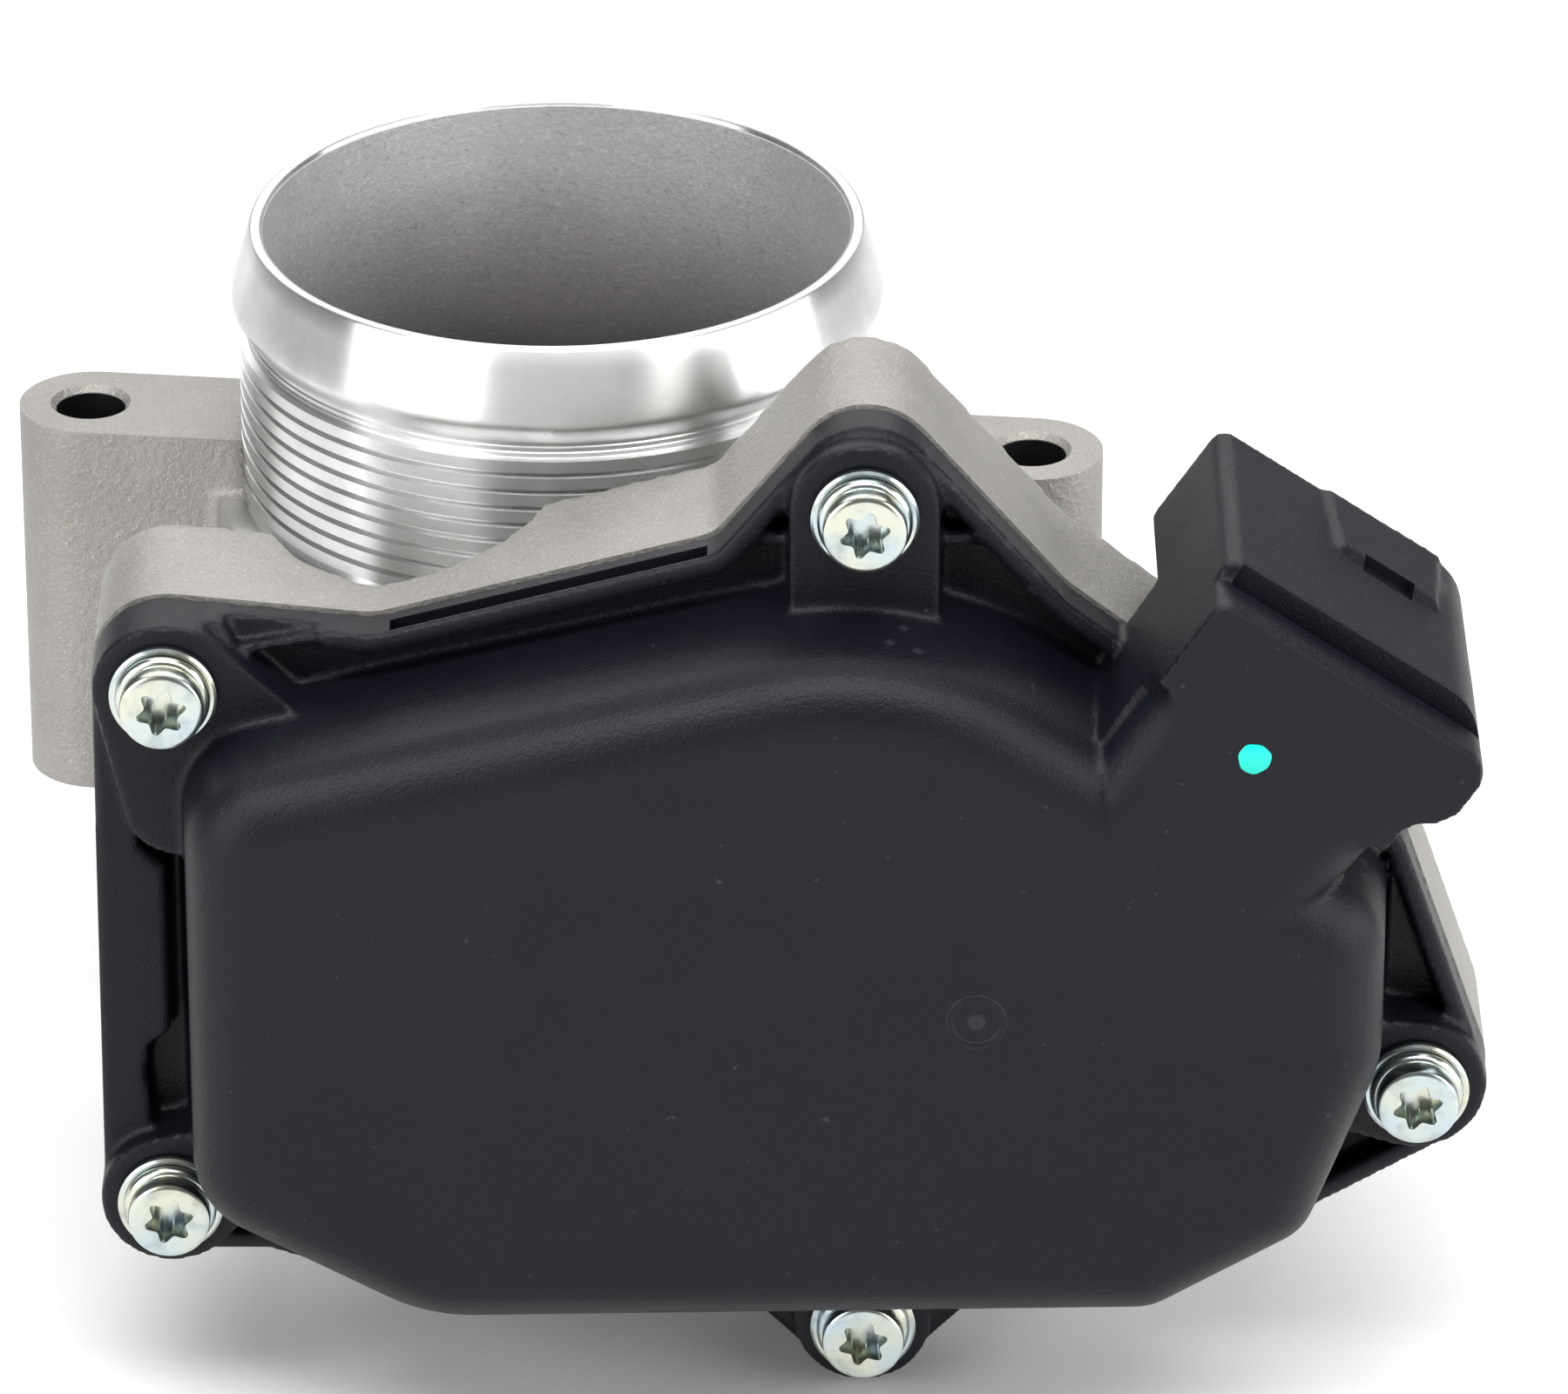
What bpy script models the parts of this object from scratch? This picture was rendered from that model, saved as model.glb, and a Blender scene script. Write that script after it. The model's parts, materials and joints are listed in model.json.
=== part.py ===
"""Electronic throttle body: a cast bore with a butterfly plate, and a geared motor drive under a cover.

Frame: the bore runs along +Z and its axis is X = Y = 0. The lower mounting face is Z = 0.
The throttle shaft runs along Y. The gear chamber and its cover are on the -Y side.
Outlines of the drive side are drawn as (x, z) corners with a rounding radius, anticlockwise.
"""
import math

import bmesh
import bpy
from mathutils import Matrix, Vector

MM = 0.001
GAP = 0.3 * MM                   # between pieces that rest on each other
RUN = 0.12 * MM                  # radial clearance of a shaft in its bore

# ---- bore and hose spigot ----
BORE_R = 28.5 * MM
SPIGOT_TOP_Z = 61.0 * MM
SPIGOT_TUBE_R = BORE_R + 2.4 * MM
SPIGOT_NECK_R = BORE_R + 1.5 * MM
SPIGOT_BEAD_R = BORE_R + 3.1 * MM
LEDGE_Z = 33.0 * MM
BODY_R = BORE_R + 4.9 * MM

# ---- mounting lugs ----
LUG_HEIGHT = 39.0 * MM
LUG_R = 7.0 * MM
BOLT_HOLE_R = 3.4 * MM
BOLT_CIRCLE_R = BORE_R + 17.8 * MM
LUG_ANGLES = {"left": 173.4, "right": -6.6, "rear": 60.0}

# ---- throttle shaft and plate ----
SHAFT_Z = 10.0 * MM
SHAFT_R = 4.0 * MM
PLATE_THICK = 2.0 * MM
PLATE_CLEAR = 0.35 * MM
PLATE_SCREW_Y = 10.0 * MM
PLATE_SCREW_R = 1.5 * MM
BEARING_R = 7.5 * MM
BEARING_LEN = 5.0 * MM
SEAL_LEN = 1.8 * MM
BEARING_BOSS_R = 9.5 * MM
REAR_BOSS_Y = BORE_R + 15.5 * MM

# ---- gear chamber and cover: places along Y ----
CHAMBER_BACK_Y = -36.0 * MM
CHAMBER_FLOOR_T = 3.0 * MM
PARTING_Y = -51.2 * MM
FLANGE_T = 3.4 * MM
BOSS_FACE_Y = -58.6 * MM
DOME_FACE_Y = -72.0 * MM
DOME_WALL = 2.2 * MM
DOME_ROUND = 6.0 * MM
CHAMBER_OVERHANG = 0.4 * MM
CLAMP_ROOM_R = 13.3 * MM         # round notch in the chamber's top, for the hose clamp's screw
CLAMP_ROOM_CENTRE = (-13.4 * MM, CHAMBER_BACK_Y + 4.0 * MM)
CLAMP_ROOM_Z = LEDGE_Z - 0.5 * MM

# ---- cover screws: centres (x, z) ----
SCREWS = [
    (-35.5 * MM, 39.5 * MM),
    (29.4 * MM, 57.7 * MM),
    (81.6 * MM, -2.2 * MM),
    (-36.2 * MM, -14.5 * MM),
    (29.5 * MM, -27.9 * MM),
]
BOSS_R = 6.8 * MM
FLANGE_LOW_Z = -26.5 * MM
SCREW_R = 2.5 * MM
SCREW_DEPTH = 9.0 * MM
HEAD_R = 3.9 * MM
HEAD_T = 2.0 * MM
FLAT_WASHER_R = 5.05 * MM
FLAT_WASHER_T = 0.9 * MM
LOCK_WASHER_R = 4.4 * MM
LOCK_WASHER_T = 0.8 * MM
STACK_GAP = 0.15 * MM

# ---- gears: module 1 mm, teeth counts on full circles ----
MODULE = 1.0 * MM
SECTOR_TEETH = 56
SMALL_TEETH = 16
LARGE_TEETH = 44
PINION_TEETH = 12
THROTTLE_TRAVEL = math.radians(85.0)
GEAR_MARGIN = math.radians(7.0)
SECTOR_BACK_Y = -50.3 * MM
SECTOR_T = 5.7 * MM
SMALL_BACK_Y = -49.5 * MM
LARGE_BACK_Y = -57.3 * MM
LARGE_T = 4.2 * MM
AXLE_R = 2.5 * MM
GEAR_HUB_R = 6.0 * MM

# ---- motor ----
MOTOR_X = 63.0 * MM
MOTOR_Z = 12.0 * MM
MOTOR_R = 12.6 * MM
MOTOR_BACK_Y = -16.2 * MM
MOTOR_FRONT_Y = -52.0 * MM
MOTOR_SHAFT_R = 1.6 * MM
MOTOR_SHAFT_DEPTH = 12.0 * MM
BARREL_WALL = 2.4 * MM
BRACKET_T = 1.4 * MM
MOTOR_SCREW_R = 1.6 * MM
MOTOR_SCREW_OUT = 4.0 * MM       # from the can's side to the screw's axis
MOTOR_SCREW_ANGLES = (180.0, 262.0)

# ---- return spring ----
SPRING_R = 7.0 * MM
SPRING_WIRE_R = 0.55 * MM
SPRING_TURNS = 5
SPRING_PITCH = 1.5 * MM
SPRING_LEG = 7.0 * MM

# ---- position sensor ----
ROTOR_DISC_R = 9.6 * MM
ROTOR_DISC_T = 1.6 * MM
BOARD_T = 1.5 * MM
BOARD_BACK_Y = -64.4 * MM

# ---- connector on the cover ----
PLUG_ANGLE = math.radians(-34.0)
PLUG_CENTRE = (72.1 * MM, 43.6 * MM)
PLUG_LENGTH = 30.6 * MM
PLUG_WIDTH = 12.0 * MM
PLUG_MOUTH_Y = -38.0 * MM
PLUG_SHOULDER_Y = -66.0 * MM
PLUG_WALL = 1.2 * MM
PLUG_DEPTH = 15.5 * MM
PLUG_FLOOR_T = 2.5 * MM
COLLAR_DROP = 2.0 * MM
PIN_PITCH = 4.0 * MM
PIN_WIDTH = 1.5 * MM
PIN_THICK = 0.6 * MM
PIN_REACH = 10.0 * MM
PIN_BACK_Y = -62.6 * MM
PIN_TAIL = 22.0 * MM

# ---- drawing fineness ----
TUBE_STEPS = 40
ROUND_STEPS = 20
SMALL_STEPS = 12
CORNER_STEPS = 3
LOBE_STEPS = 12

# ---- worked-out places ----
FLOOR_Y = CHAMBER_BACK_Y - CHAMBER_FLOOR_T
SHALLOW_FLOOR_Y = CLAMP_ROOM_CENTRE[1] - CLAMP_ROOM_R - CHAMBER_FLOOR_T
COVER_BACK_Y = PARTING_Y - GAP
FLANGE_FACE_Y = COVER_BACK_Y - FLANGE_T
SECTOR_R = MODULE * SECTOR_TEETH / 2
SMALL_R = MODULE * SMALL_TEETH / 2
LARGE_R = MODULE * LARGE_TEETH / 2
PINION_R = MODULE * PINION_TEETH / 2
PLUG_ALONG = Vector((math.cos(PLUG_ANGLE), math.sin(PLUG_ANGLE)))
PLUG_UP = Vector((-math.sin(PLUG_ANGLE), math.cos(PLUG_ANGLE)))


def intermediate_centre():
    """Where the double gear meshes with both the sector and the pinion, on the upper side."""
    shaft = Vector((0.0, SHAFT_Z))
    motor = Vector((MOTOR_X, MOTOR_Z))
    near = SECTOR_R + SMALL_R
    far = LARGE_R + PINION_R
    span = (motor - shaft).length
    along = (near ** 2 - far ** 2 + span ** 2) / (2 * span)
    across = math.sqrt(near ** 2 - along ** 2)
    direction = (motor - shaft) / span
    return shaft + direction * along + Vector((-direction.y, direction.x)) * across


MID = intermediate_centre()
MID_X = MID.x
MID_Z = MID.y


# ---------------------------------------------------------------- outlines

def rounded(corners, offset=0.0, steps=CORNER_STEPS):
    """Points of an anticlockwise outline of (u, v, radius) corners, grown outwards by offset."""
    count = len(corners)
    spots = [Vector(c[:2]) for c in corners]
    edges = []
    for i in range(count):
        direction = (spots[(i + 1) % count] - spots[i]).normalized()
        outward = Vector((direction.y, -direction.x))
        edges.append((spots[i] + outward * offset, direction))
    points = []
    for i in range(count):
        before, came = edges[i - 1]
        after, goes = edges[i]
        turn = came.x * goes.y - came.y * goes.x
        reach = (after - before).cross(goes) / turn
        corner = before + came * reach
        radius = corners[i][2] + (offset if turn > 0 else -offset)
        radius = max(radius, 0.3 * MM)
        half = came.angle(goes) / 2
        tangent = radius * math.tan(half)
        side = 1.0 if turn > 0 else -1.0
        centre = corner - came * tangent + Vector((-came.y, came.x)) * radius * side
        start = math.atan2(came.y, came.x) - side * math.pi / 2
        for k in range(steps + 1):
            angle = start + side * 2 * half * k / steps
            points.append(centre + Vector((math.cos(angle), math.sin(angle))) * radius)
    return points


def hull(circles, steps=ROUND_STEPS):
    """Anticlockwise outline of the smallest convex shape around circles (u, v, radius)."""
    cloud = []
    for u, v, radius in circles:
        for k in range(steps):
            angle = 2 * math.pi * k / steps
            cloud.append((u + radius * math.cos(angle), v + radius * math.sin(angle)))
    cloud.sort()
    outline = []
    for run in (cloud, cloud[::-1]):
        chain = []
        for point in run:
            while len(chain) > 1 and cross(chain[-2], chain[-1], point) <= 0:
                chain.pop()
            chain.append(point)
        outline += chain[:-1]
    return [Vector(p) for p in outline]


def cross(a, b, c):
    return (b[0] - a[0]) * (c[1] - a[1]) - (b[1] - a[1]) * (c[0] - a[0])


def gear_outline(centre, pitch_r, teeth, tooth_at, span=None):
    """Toothed outline with a tooth centred on the angle tooth_at, as a full circle or over a span."""
    pitch = 2 * math.pi / teeth
    root = pitch_r - 1.2 * MODULE
    tip = pitch_r + 0.8 * MODULE
    if span is None:
        first, last = 0, teeth - 1
    else:
        first = math.ceil((span[0] - tooth_at) / pitch)
        last = math.floor((span[1] - tooth_at) / pitch)
    points = []
    for i in range(first, last + 1):
        middle = tooth_at + i * pitch
        for radius, lean in ((root, -0.32), (tip, -0.11), (tip, 0.11), (root, 0.32)):
            angle = middle + lean * pitch
            points.append(Vector(centre) + Vector((math.cos(angle), math.sin(angle))) * radius)
    return points


def flange_corners():
    """Outline of the cover flange: round bosses on the five screws, and straight runs between."""
    left, top, right, low_left, low = SCREWS
    r = BOSS_R
    low_tip = low[1] - 1.414 * r
    low_reach = FLANGE_LOW_Z - low_tip
    return [
        (low_left[0] - 0.95 * r, low_left[1] - r, r),
        (low_left[0] + 9.2 * MM, low_left[1] - r, 3 * MM),
        (-12.0 * MM, FLANGE_LOW_Z, 6 * MM),
        (low[0] - low_reach, FLANGE_LOW_Z, 2 * MM),
        (low[0], low_tip, r),
        (low[0] + low_reach, FLANGE_LOW_Z, 2 * MM),
        (61.0 * MM, -23.3 * MM, 6 * MM),
        (right[0] + 1.23 * r, right[1] - 0.6 * r, r),
        (79.9 * MM, 22.9 * MM, 4 * MM),
        (48.2 * MM, 47.3 * MM, 4 * MM),
        (top[0], top[1] + 1.7 * r, r),
        (15.6 * MM, 52.3 * MM, 3 * MM),
        (-16.2 * MM, 44.0 * MM, 6 * MM),
        (left[0] - 1.0 * r, left[1] + 1.06 * r, r),
    ]


def dome_corners():
    return [
        (-34.4 * MM, -10.6 * MM, 9 * MM),
        (-12.0 * MM, -22.9 * MM, 18 * MM),
        (57.0 * MM, -21.9 * MM, 7 * MM),
        (71.8 * MM, -13.2 * MM, 6.5 * MM),
        (78.7 * MM, 5.0 * MM, 14 * MM),
        (78.7 * MM, 22.0 * MM, 8 * MM),
        (33.4 * MM, 51.0 * MM, 34 * MM),
        (-34.4 * MM, 35.0 * MM, 9 * MM),
    ]


def plug_point(along, up):
    """A point of the connector's own plane in (x, z), from its centre."""
    return Vector(PLUG_CENTRE) + PLUG_ALONG * along + PLUG_UP * up


def plug_corners(low, high, bottom, top, square_r, round_r):
    """The connector's section: square corners at its upper end, a round one at its lower end."""
    places = [(low, bottom, square_r), (high, bottom, round_r), (high, top, round_r), (low, top, square_r)]
    return [(*plug_point(along, up), radius) for along, up, radius in places]


# ---------------------------------------------------------------- solids

def keep(obj, material):
    """Put a finished part in the model's collection, with its material."""
    for old in list(obj.users_collection):
        old.objects.unlink(obj)
    MODEL.objects.link(obj)
    obj.data.materials.clear()
    obj.data.materials.append(material)
    return obj


def tool(obj):
    """Make an object a guide: it adds to or cuts another one, and isn't a part itself."""
    for old in list(obj.users_collection):
        old.objects.unlink(obj)
    GUIDES.objects.link(obj)
    obj.hide_render = True
    obj.display_type = 'WIRE'
    return obj


def combine(body, other, operation):
    modifier = body.modifiers.new(other.name, 'BOOLEAN')
    modifier.object = tool(other)
    modifier.operation = operation


def cut(body, *others):
    for other in others:
        combine(body, other, 'DIFFERENCE')


def add(body, *others):
    for other in others:
        combine(body, other, 'UNION')


def place(obj, axis):
    """Turn a shape drawn in its own XY plane so that its plane is (x, z) when axis is 'Y'."""
    if axis == 'Y':
        obj.rotation_euler = (math.radians(90), 0, 0)


def prism(name, outline, low, high, axis='Y'):
    """An outline of (x, z) points between two Y values, or of (x, y) points between two Z values."""
    curve = bpy.data.curves.new(name, 'CURVE')
    curve.dimensions = '2D'
    curve.fill_mode = 'BOTH'
    curve.extrude = abs(high - low) / 2
    spline = curve.splines.new('POLY')
    spline.points.add(len(outline) - 1)
    for slot, point in zip(spline.points, outline):
        slot.co = (point[0], point[1], 0, 1)
    spline.use_cyclic_u = True
    obj = bpy.data.objects.new(name, curve)
    middle = (low + high) / 2
    obj.location = (0, middle, 0) if axis == 'Y' else (0, 0, middle)
    place(obj, axis)
    return meshed(obj)


def pillow(name, outline, low, high, rounding):
    """A prism along Y whose edges are rounded at both ends."""
    curve = bpy.data.curves.new(name, 'CURVE')
    curve.dimensions = '2D'
    curve.fill_mode = 'BOTH'
    curve.extrude = abs(high - low) / 2 - rounding
    curve.bevel_depth = rounding
    curve.bevel_resolution = 1
    spline = curve.splines.new('POLY')
    spline.points.add(len(outline) - 1)
    for slot, point in zip(spline.points, outline):
        slot.co = (point[0], point[1], 0, 1)
    spline.use_cyclic_u = True
    obj = bpy.data.objects.new(name, curve)
    obj.location = (0, (low + high) / 2, 0)
    place(obj, 'Y')
    return meshed(obj)


def meshed(curve_object):
    """The mesh of a curve object, with its caps welded on."""
    bpy.context.scene.collection.objects.link(curve_object)
    bpy.context.view_layer.update()
    seen = curve_object.evaluated_get(bpy.context.evaluated_depsgraph_get())
    mesh = bpy.data.meshes.new_from_object(seen)
    shape = bmesh.new()
    shape.from_mesh(mesh)
    bmesh.ops.remove_doubles(shape, verts=shape.verts, dist=0.01 * MM)
    bmesh.ops.recalc_face_normals(shape, faces=shape.faces)
    shape.to_mesh(mesh)
    shape.free()
    obj = bpy.data.objects.new(curve_object.name, mesh)
    obj.matrix_world = curve_object.matrix_world
    name = curve_object.name
    bpy.data.objects.remove(curve_object)
    obj.name = name
    bpy.context.scene.collection.objects.link(obj)
    return obj


def cylinder(name, radius, low, high, centre=(0, 0), axis='Y', steps=SMALL_STEPS):
    """A cylinder along Y about (x, z), along Z about (x, y), or along X about (y, z)."""
    mesh = bpy.data.meshes.new(name)
    shape = bmesh.new()
    bmesh.ops.create_cone(shape, cap_ends=True, segments=steps, radius1=radius, radius2=radius,
                          depth=abs(high - low))
    turns = {'X': Matrix.Rotation(math.radians(90), 4, 'Y'),
             'Y': Matrix.Rotation(math.radians(90), 4, 'X'),
             'Z': Matrix.Identity(4)}
    bmesh.ops.transform(shape, matrix=turns[axis], verts=shape.verts)
    shape.to_mesh(mesh)
    shape.free()
    mesh.shade_smooth()
    mesh.set_sharp_from_angle(angle=math.radians(35))
    obj = bpy.data.objects.new(name, mesh)
    middle = (low + high) / 2
    spots = {'X': (middle, centre[0], centre[1]),
             'Y': (centre[0], middle, centre[1]),
             'Z': (centre[0], centre[1], middle)}
    obj.location = spots[axis]
    bpy.context.scene.collection.objects.link(obj)
    return obj


def box(name, low, high):
    mesh = bpy.data.meshes.new(name)
    shape = bmesh.new()
    bmesh.ops.create_cube(shape, size=1.0)
    size = [b - a for a, b in zip(low, high)]
    bmesh.ops.scale(shape, vec=size, verts=shape.verts)
    shape.to_mesh(mesh)
    shape.free()
    obj = bpy.data.objects.new(name, mesh)
    obj.location = [(a + b) / 2 for a, b in zip(low, high)]
    bpy.context.scene.collection.objects.link(obj)
    return obj


def turned(name, profile, centre=(0, 0), axis='Z', steps=ROUND_STEPS, closed=False):
    """A profile of (radius, height) points, down the outer side first, turned about its axis.

    Height runs along Z, or along Y about the point centre = (x, z).
    """
    mesh = bpy.data.meshes.new(name)
    links = [(i, i + 1) for i in range(len(profile) - 1)]
    if closed:
        links.append((len(profile) - 1, 0))
    mesh.from_pydata([(radius, 0, height) for radius, height in profile], links, [])
    obj = bpy.data.objects.new(name, mesh)
    bpy.context.scene.collection.objects.link(obj)
    screw = obj.modifiers.new('Turn', 'SCREW')
    screw.axis = 'Z'
    screw.steps = steps
    screw.render_steps = steps
    screw.use_merge_vertices = True
    screw.merge_threshold = 0.005 * MM
    screw.use_smooth_shade = True
    if axis == 'Y':
        obj.rotation_euler = (math.radians(-90), 0, 0)
        obj.location = (centre[0], 0, centre[1])
    return obj


def ring(name, inner, outer, low, high, centre=(0, 0), axis='Y', steps=SMALL_STEPS):
    """A plain ring: a washer, bearing or bush."""
    profile = [(outer, high), (outer, low), (inner, low), (inner, high)]
    return turned(name, profile, centre, axis, steps, closed=True)


def paint(name, color, roughness, metallic=0.0):
    material = bpy.data.materials.new(name)
    material.use_nodes = True
    shader = material.node_tree.nodes['Principled BSDF']
    shader.inputs['Base Color'].default_value = (*color, 1)
    shader.inputs['Roughness'].default_value = roughness
    shader.inputs['Metallic'].default_value = metallic
    return material


# ---------------------------------------------------------------- casting

def lug_centre(side):
    angle = math.radians(LUG_ANGLES[side])
    return BOLT_CIRCLE_R * math.cos(angle), BOLT_CIRCLE_R * math.sin(angle)


def lug_web(side):
    """The wall that joins a lug to the tube, as wide as the lug, from the bore outwards."""
    x, y = lug_centre(side)
    out = Vector((x, y)).normalized()
    across = Vector((-out.y, out.x)) * LUG_R
    inside = out * (BORE_R + 1.5 * MM)
    outside = Vector((x, y))
    outline = [inside - across, outside - across, outside + across, inside + across]
    return prism('web_' + side, outline, 0, LUG_HEIGHT, axis='Z')


def casting():
    """Bore tube, lugs, gear chamber, bearing bosses and motor barrel, in one casting."""
    tube = [
        (0, SPIGOT_TOP_Z),
        (BORE_R + 0.9 * MM, SPIGOT_TOP_Z),
        (SPIGOT_BEAD_R - 0.7 * MM, SPIGOT_TOP_Z - 2.6 * MM),
        (SPIGOT_BEAD_R, SPIGOT_TOP_Z - 4.6 * MM),
        (SPIGOT_BEAD_R - 0.4 * MM, SPIGOT_TOP_Z - 6.4 * MM),
        (SPIGOT_NECK_R, SPIGOT_TOP_Z - 9.0 * MM),
        (SPIGOT_NECK_R, SPIGOT_TOP_Z - 10.4 * MM),
        (SPIGOT_TUBE_R, SPIGOT_TOP_Z - 11.2 * MM),
        (SPIGOT_TUBE_R, LEDGE_Z),
        (BODY_R, LEDGE_Z),
        (BODY_R, 0),
        (0, 0),
    ]
    body = turned('throttle_body_casting', tube, steps=TUBE_STEPS)
    for side in LUG_ANGLES:
        add(body, lug_web(side))
        add(body, cylinder('lug_' + side, LUG_R, 0, LUG_HEIGHT, lug_centre(side), 'Z', ROUND_STEPS))
    chamber = prism('chamber', rounded(flange_corners(), CHAMBER_OVERHANG), PARTING_Y, CHAMBER_BACK_Y)
    cut(chamber, cylinder('clamp_room', CLAMP_ROOM_R, CLAMP_ROOM_Z, SPIGOT_TOP_Z, CLAMP_ROOM_CENTRE, 'Z',
                          TUBE_STEPS))
    add(body, chamber)
    bridge_low = (-26 * MM, CHAMBER_BACK_Y - MM, 2 * MM)
    bridge_high = (26 * MM, -BORE_R * 0.6, LEDGE_Z - 2 * MM)
    add(body, box('chamber_bridge', bridge_low, bridge_high))
    add(body, cylinder('rear_bearing_boss', BEARING_BOSS_R, BORE_R * 0.8, REAR_BOSS_Y, (0, SHAFT_Z),
                       steps=ROUND_STEPS))
    barrel_r = MOTOR_R + GAP + BARREL_WALL
    add(body, cylinder('motor_barrel', barrel_r, CHAMBER_BACK_Y - MM, MOTOR_BACK_Y + 3.2 * MM,
                       (MOTOR_X, MOTOR_Z), steps=ROUND_STEPS))
    shoulder_low = (lug_centre('right')[0] - 2 * MM, CHAMBER_BACK_Y - MM, 4 * MM)
    shoulder_high = (MOTOR_X, MOTOR_BACK_Y + 3.2 * MM, MOTOR_Z + barrel_r + 1.2 * MM)
    add(body, box('motor_shoulder', shoulder_low, shoulder_high))
    add(body, cylinder('axle_boss', AXLE_R + 3 * MM, CHAMBER_BACK_Y - MM, CHAMBER_BACK_Y + 4 * MM,
                       (MID_X, MID_Z)))
    cut_casting(body)
    return keep(body, ALUMINIUM)


def cut_casting(body):
    """The bore, holes, seats and threads, and the pocket: shallow where the notch is behind it."""
    past = 2 * MM
    cut(body, cylinder('bore', BORE_R, -past, SPIGOT_TOP_Z + past, axis='Z', steps=TUBE_STEPS))
    for side in LUG_ANGLES:
        cut(body, cylinder('bolt_hole_' + side, BOLT_HOLE_R, -past, LUG_HEIGHT + past,
                           lug_centre(side), 'Z'))
    deep = prism('chamber_pocket', rounded(dome_corners(), -0.1 * MM), FLOOR_Y, PARTING_Y - 0.5 * past)
    cut(deep, box('pocket_limit', (-60 * MM, PARTING_Y - 2 * past, CLAMP_ROOM_Z - CHAMBER_FLOOR_T),
                  (120 * MM, 0, 90 * MM)))
    cut(body, deep)
    cut(body, prism('shallow_pocket', rounded(dome_corners()), SHALLOW_FLOOR_Y, PARTING_Y - past))
    shaft_at = (0, SHAFT_Z)
    cut(body, cylinder('shaft_bore', SHAFT_R + GAP, FLOOR_Y - past, REAR_BOSS_Y + past, shaft_at,
                       steps=ROUND_STEPS))
    seat_r = BEARING_R + RUN
    cut(body, cylinder('front_seat', seat_r, FLOOR_Y - past, FRONT_SEAT_Y, shaft_at, steps=ROUND_STEPS))
    cut(body, cylinder('rear_seat', seat_r, REAR_SEAT_Y, REAR_BOSS_Y + past, shaft_at, steps=ROUND_STEPS))
    cut(body, cylinder('motor_pocket', MOTOR_R + GAP, FLOOR_Y - past, MOTOR_BACK_Y + 1.0 * MM,
                       (MOTOR_X, MOTOR_Z), steps=ROUND_STEPS))
    cut(body, cylinder('axle_hole', AXLE_R + RUN, FLOOR_Y - past, AXLE_END_Y + GAP, (MID_X, MID_Z)))
    for number, spot in enumerate(SCREWS, 1):
        cut(body, cylinder(f'thread_{number}', SCREW_R + GAP, PARTING_Y - past,
                           PARTING_Y + SCREW_DEPTH + 1.5 * MM, spot))
    for number, spot in enumerate(motor_screw_spots(), 1):
        cut(body, cylinder(f'motor_thread_{number}', MOTOR_SCREW_R + GAP, FLOOR_Y - past,
                           CHAMBER_BACK_Y + past, spot, steps=12))


# ---------------------------------------------------------------- cover

def cover():
    """Moulded cover: flange with pockets and bosses, domed gear housing, and the connector."""
    body = prism('gearbox_cover', rounded(flange_corners()), FLANGE_FACE_Y, COVER_BACK_Y)
    for number, spot in enumerate(SCREWS, 1):
        add(body, cylinder(f'boss_{number}', BOSS_R - 0.3 * MM, BOSS_FACE_Y, COVER_BACK_Y - 0.5 * MM, spot,
                           steps=ROUND_STEPS))
    dome_back = COVER_BACK_Y - 0.4 * MM
    deep = 2 * DOME_ROUND
    dome = pillow('dome', rounded(dome_corners(), -DOME_ROUND), DOME_FACE_Y, dome_back + deep, DOME_ROUND)
    cut(dome, box('dome_trim', (-60 * MM, dome_back, -60 * MM), (120 * MM, 0, 90 * MM)))
    add(body, dome)
    add(body, neck())
    add(body, shroud())
    add(body, axle_socket())
    cut_cover(body)
    return keep(body, BLACK_PLASTIC)


def neck():
    """The block that carries the connector: it leaves the dome along the connector's short side."""
    low = -PLUG_LENGTH / 2
    high = PLUG_LENGTH / 2
    top = PLUG_WIDTH / 2 - COLLAR_DROP
    corners = [
        (*plug_point(low + 1.0 * MM, -26 * MM), 1 * MM),
        (*plug_point(high - 4.2 * MM, -26 * MM), 1 * MM),
        (*plug_point(high - 3.2 * MM, -PLUG_WIDTH / 2 + 1 * MM), 3 * MM),
        (*plug_point(high, -PLUG_WIDTH / 2 + 3 * MM), 4 * MM),
        (*plug_point(high, top), 2.5 * MM),
        (*plug_point(low, top), 1 * MM),
        (*plug_point(low, -PLUG_WIDTH / 2), 1 * MM),
    ]
    return prism('neck', rounded(corners), DOME_FACE_Y, NECK_BACK_Y)


def shroud():
    low = -PLUG_LENGTH / 2
    corners = plug_corners(low, -low, -PLUG_WIDTH / 2, PLUG_WIDTH / 2, 1.5 * MM, PLUG_WIDTH / 2 - 0.1 * MM)
    return prism('shroud', rounded(corners), PLUG_SHOULDER_Y, PLUG_MOUTH_Y)


def axle_socket():
    """Boss inside the dome that holds the front end of the intermediate axle."""
    return cylinder('axle_socket', AXLE_R + 2 * MM, DOME_FACE_Y + 1 * MM, AXLE_FRONT_Y + 2.0 * MM,
                    (MID_X, MID_Z))


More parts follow.
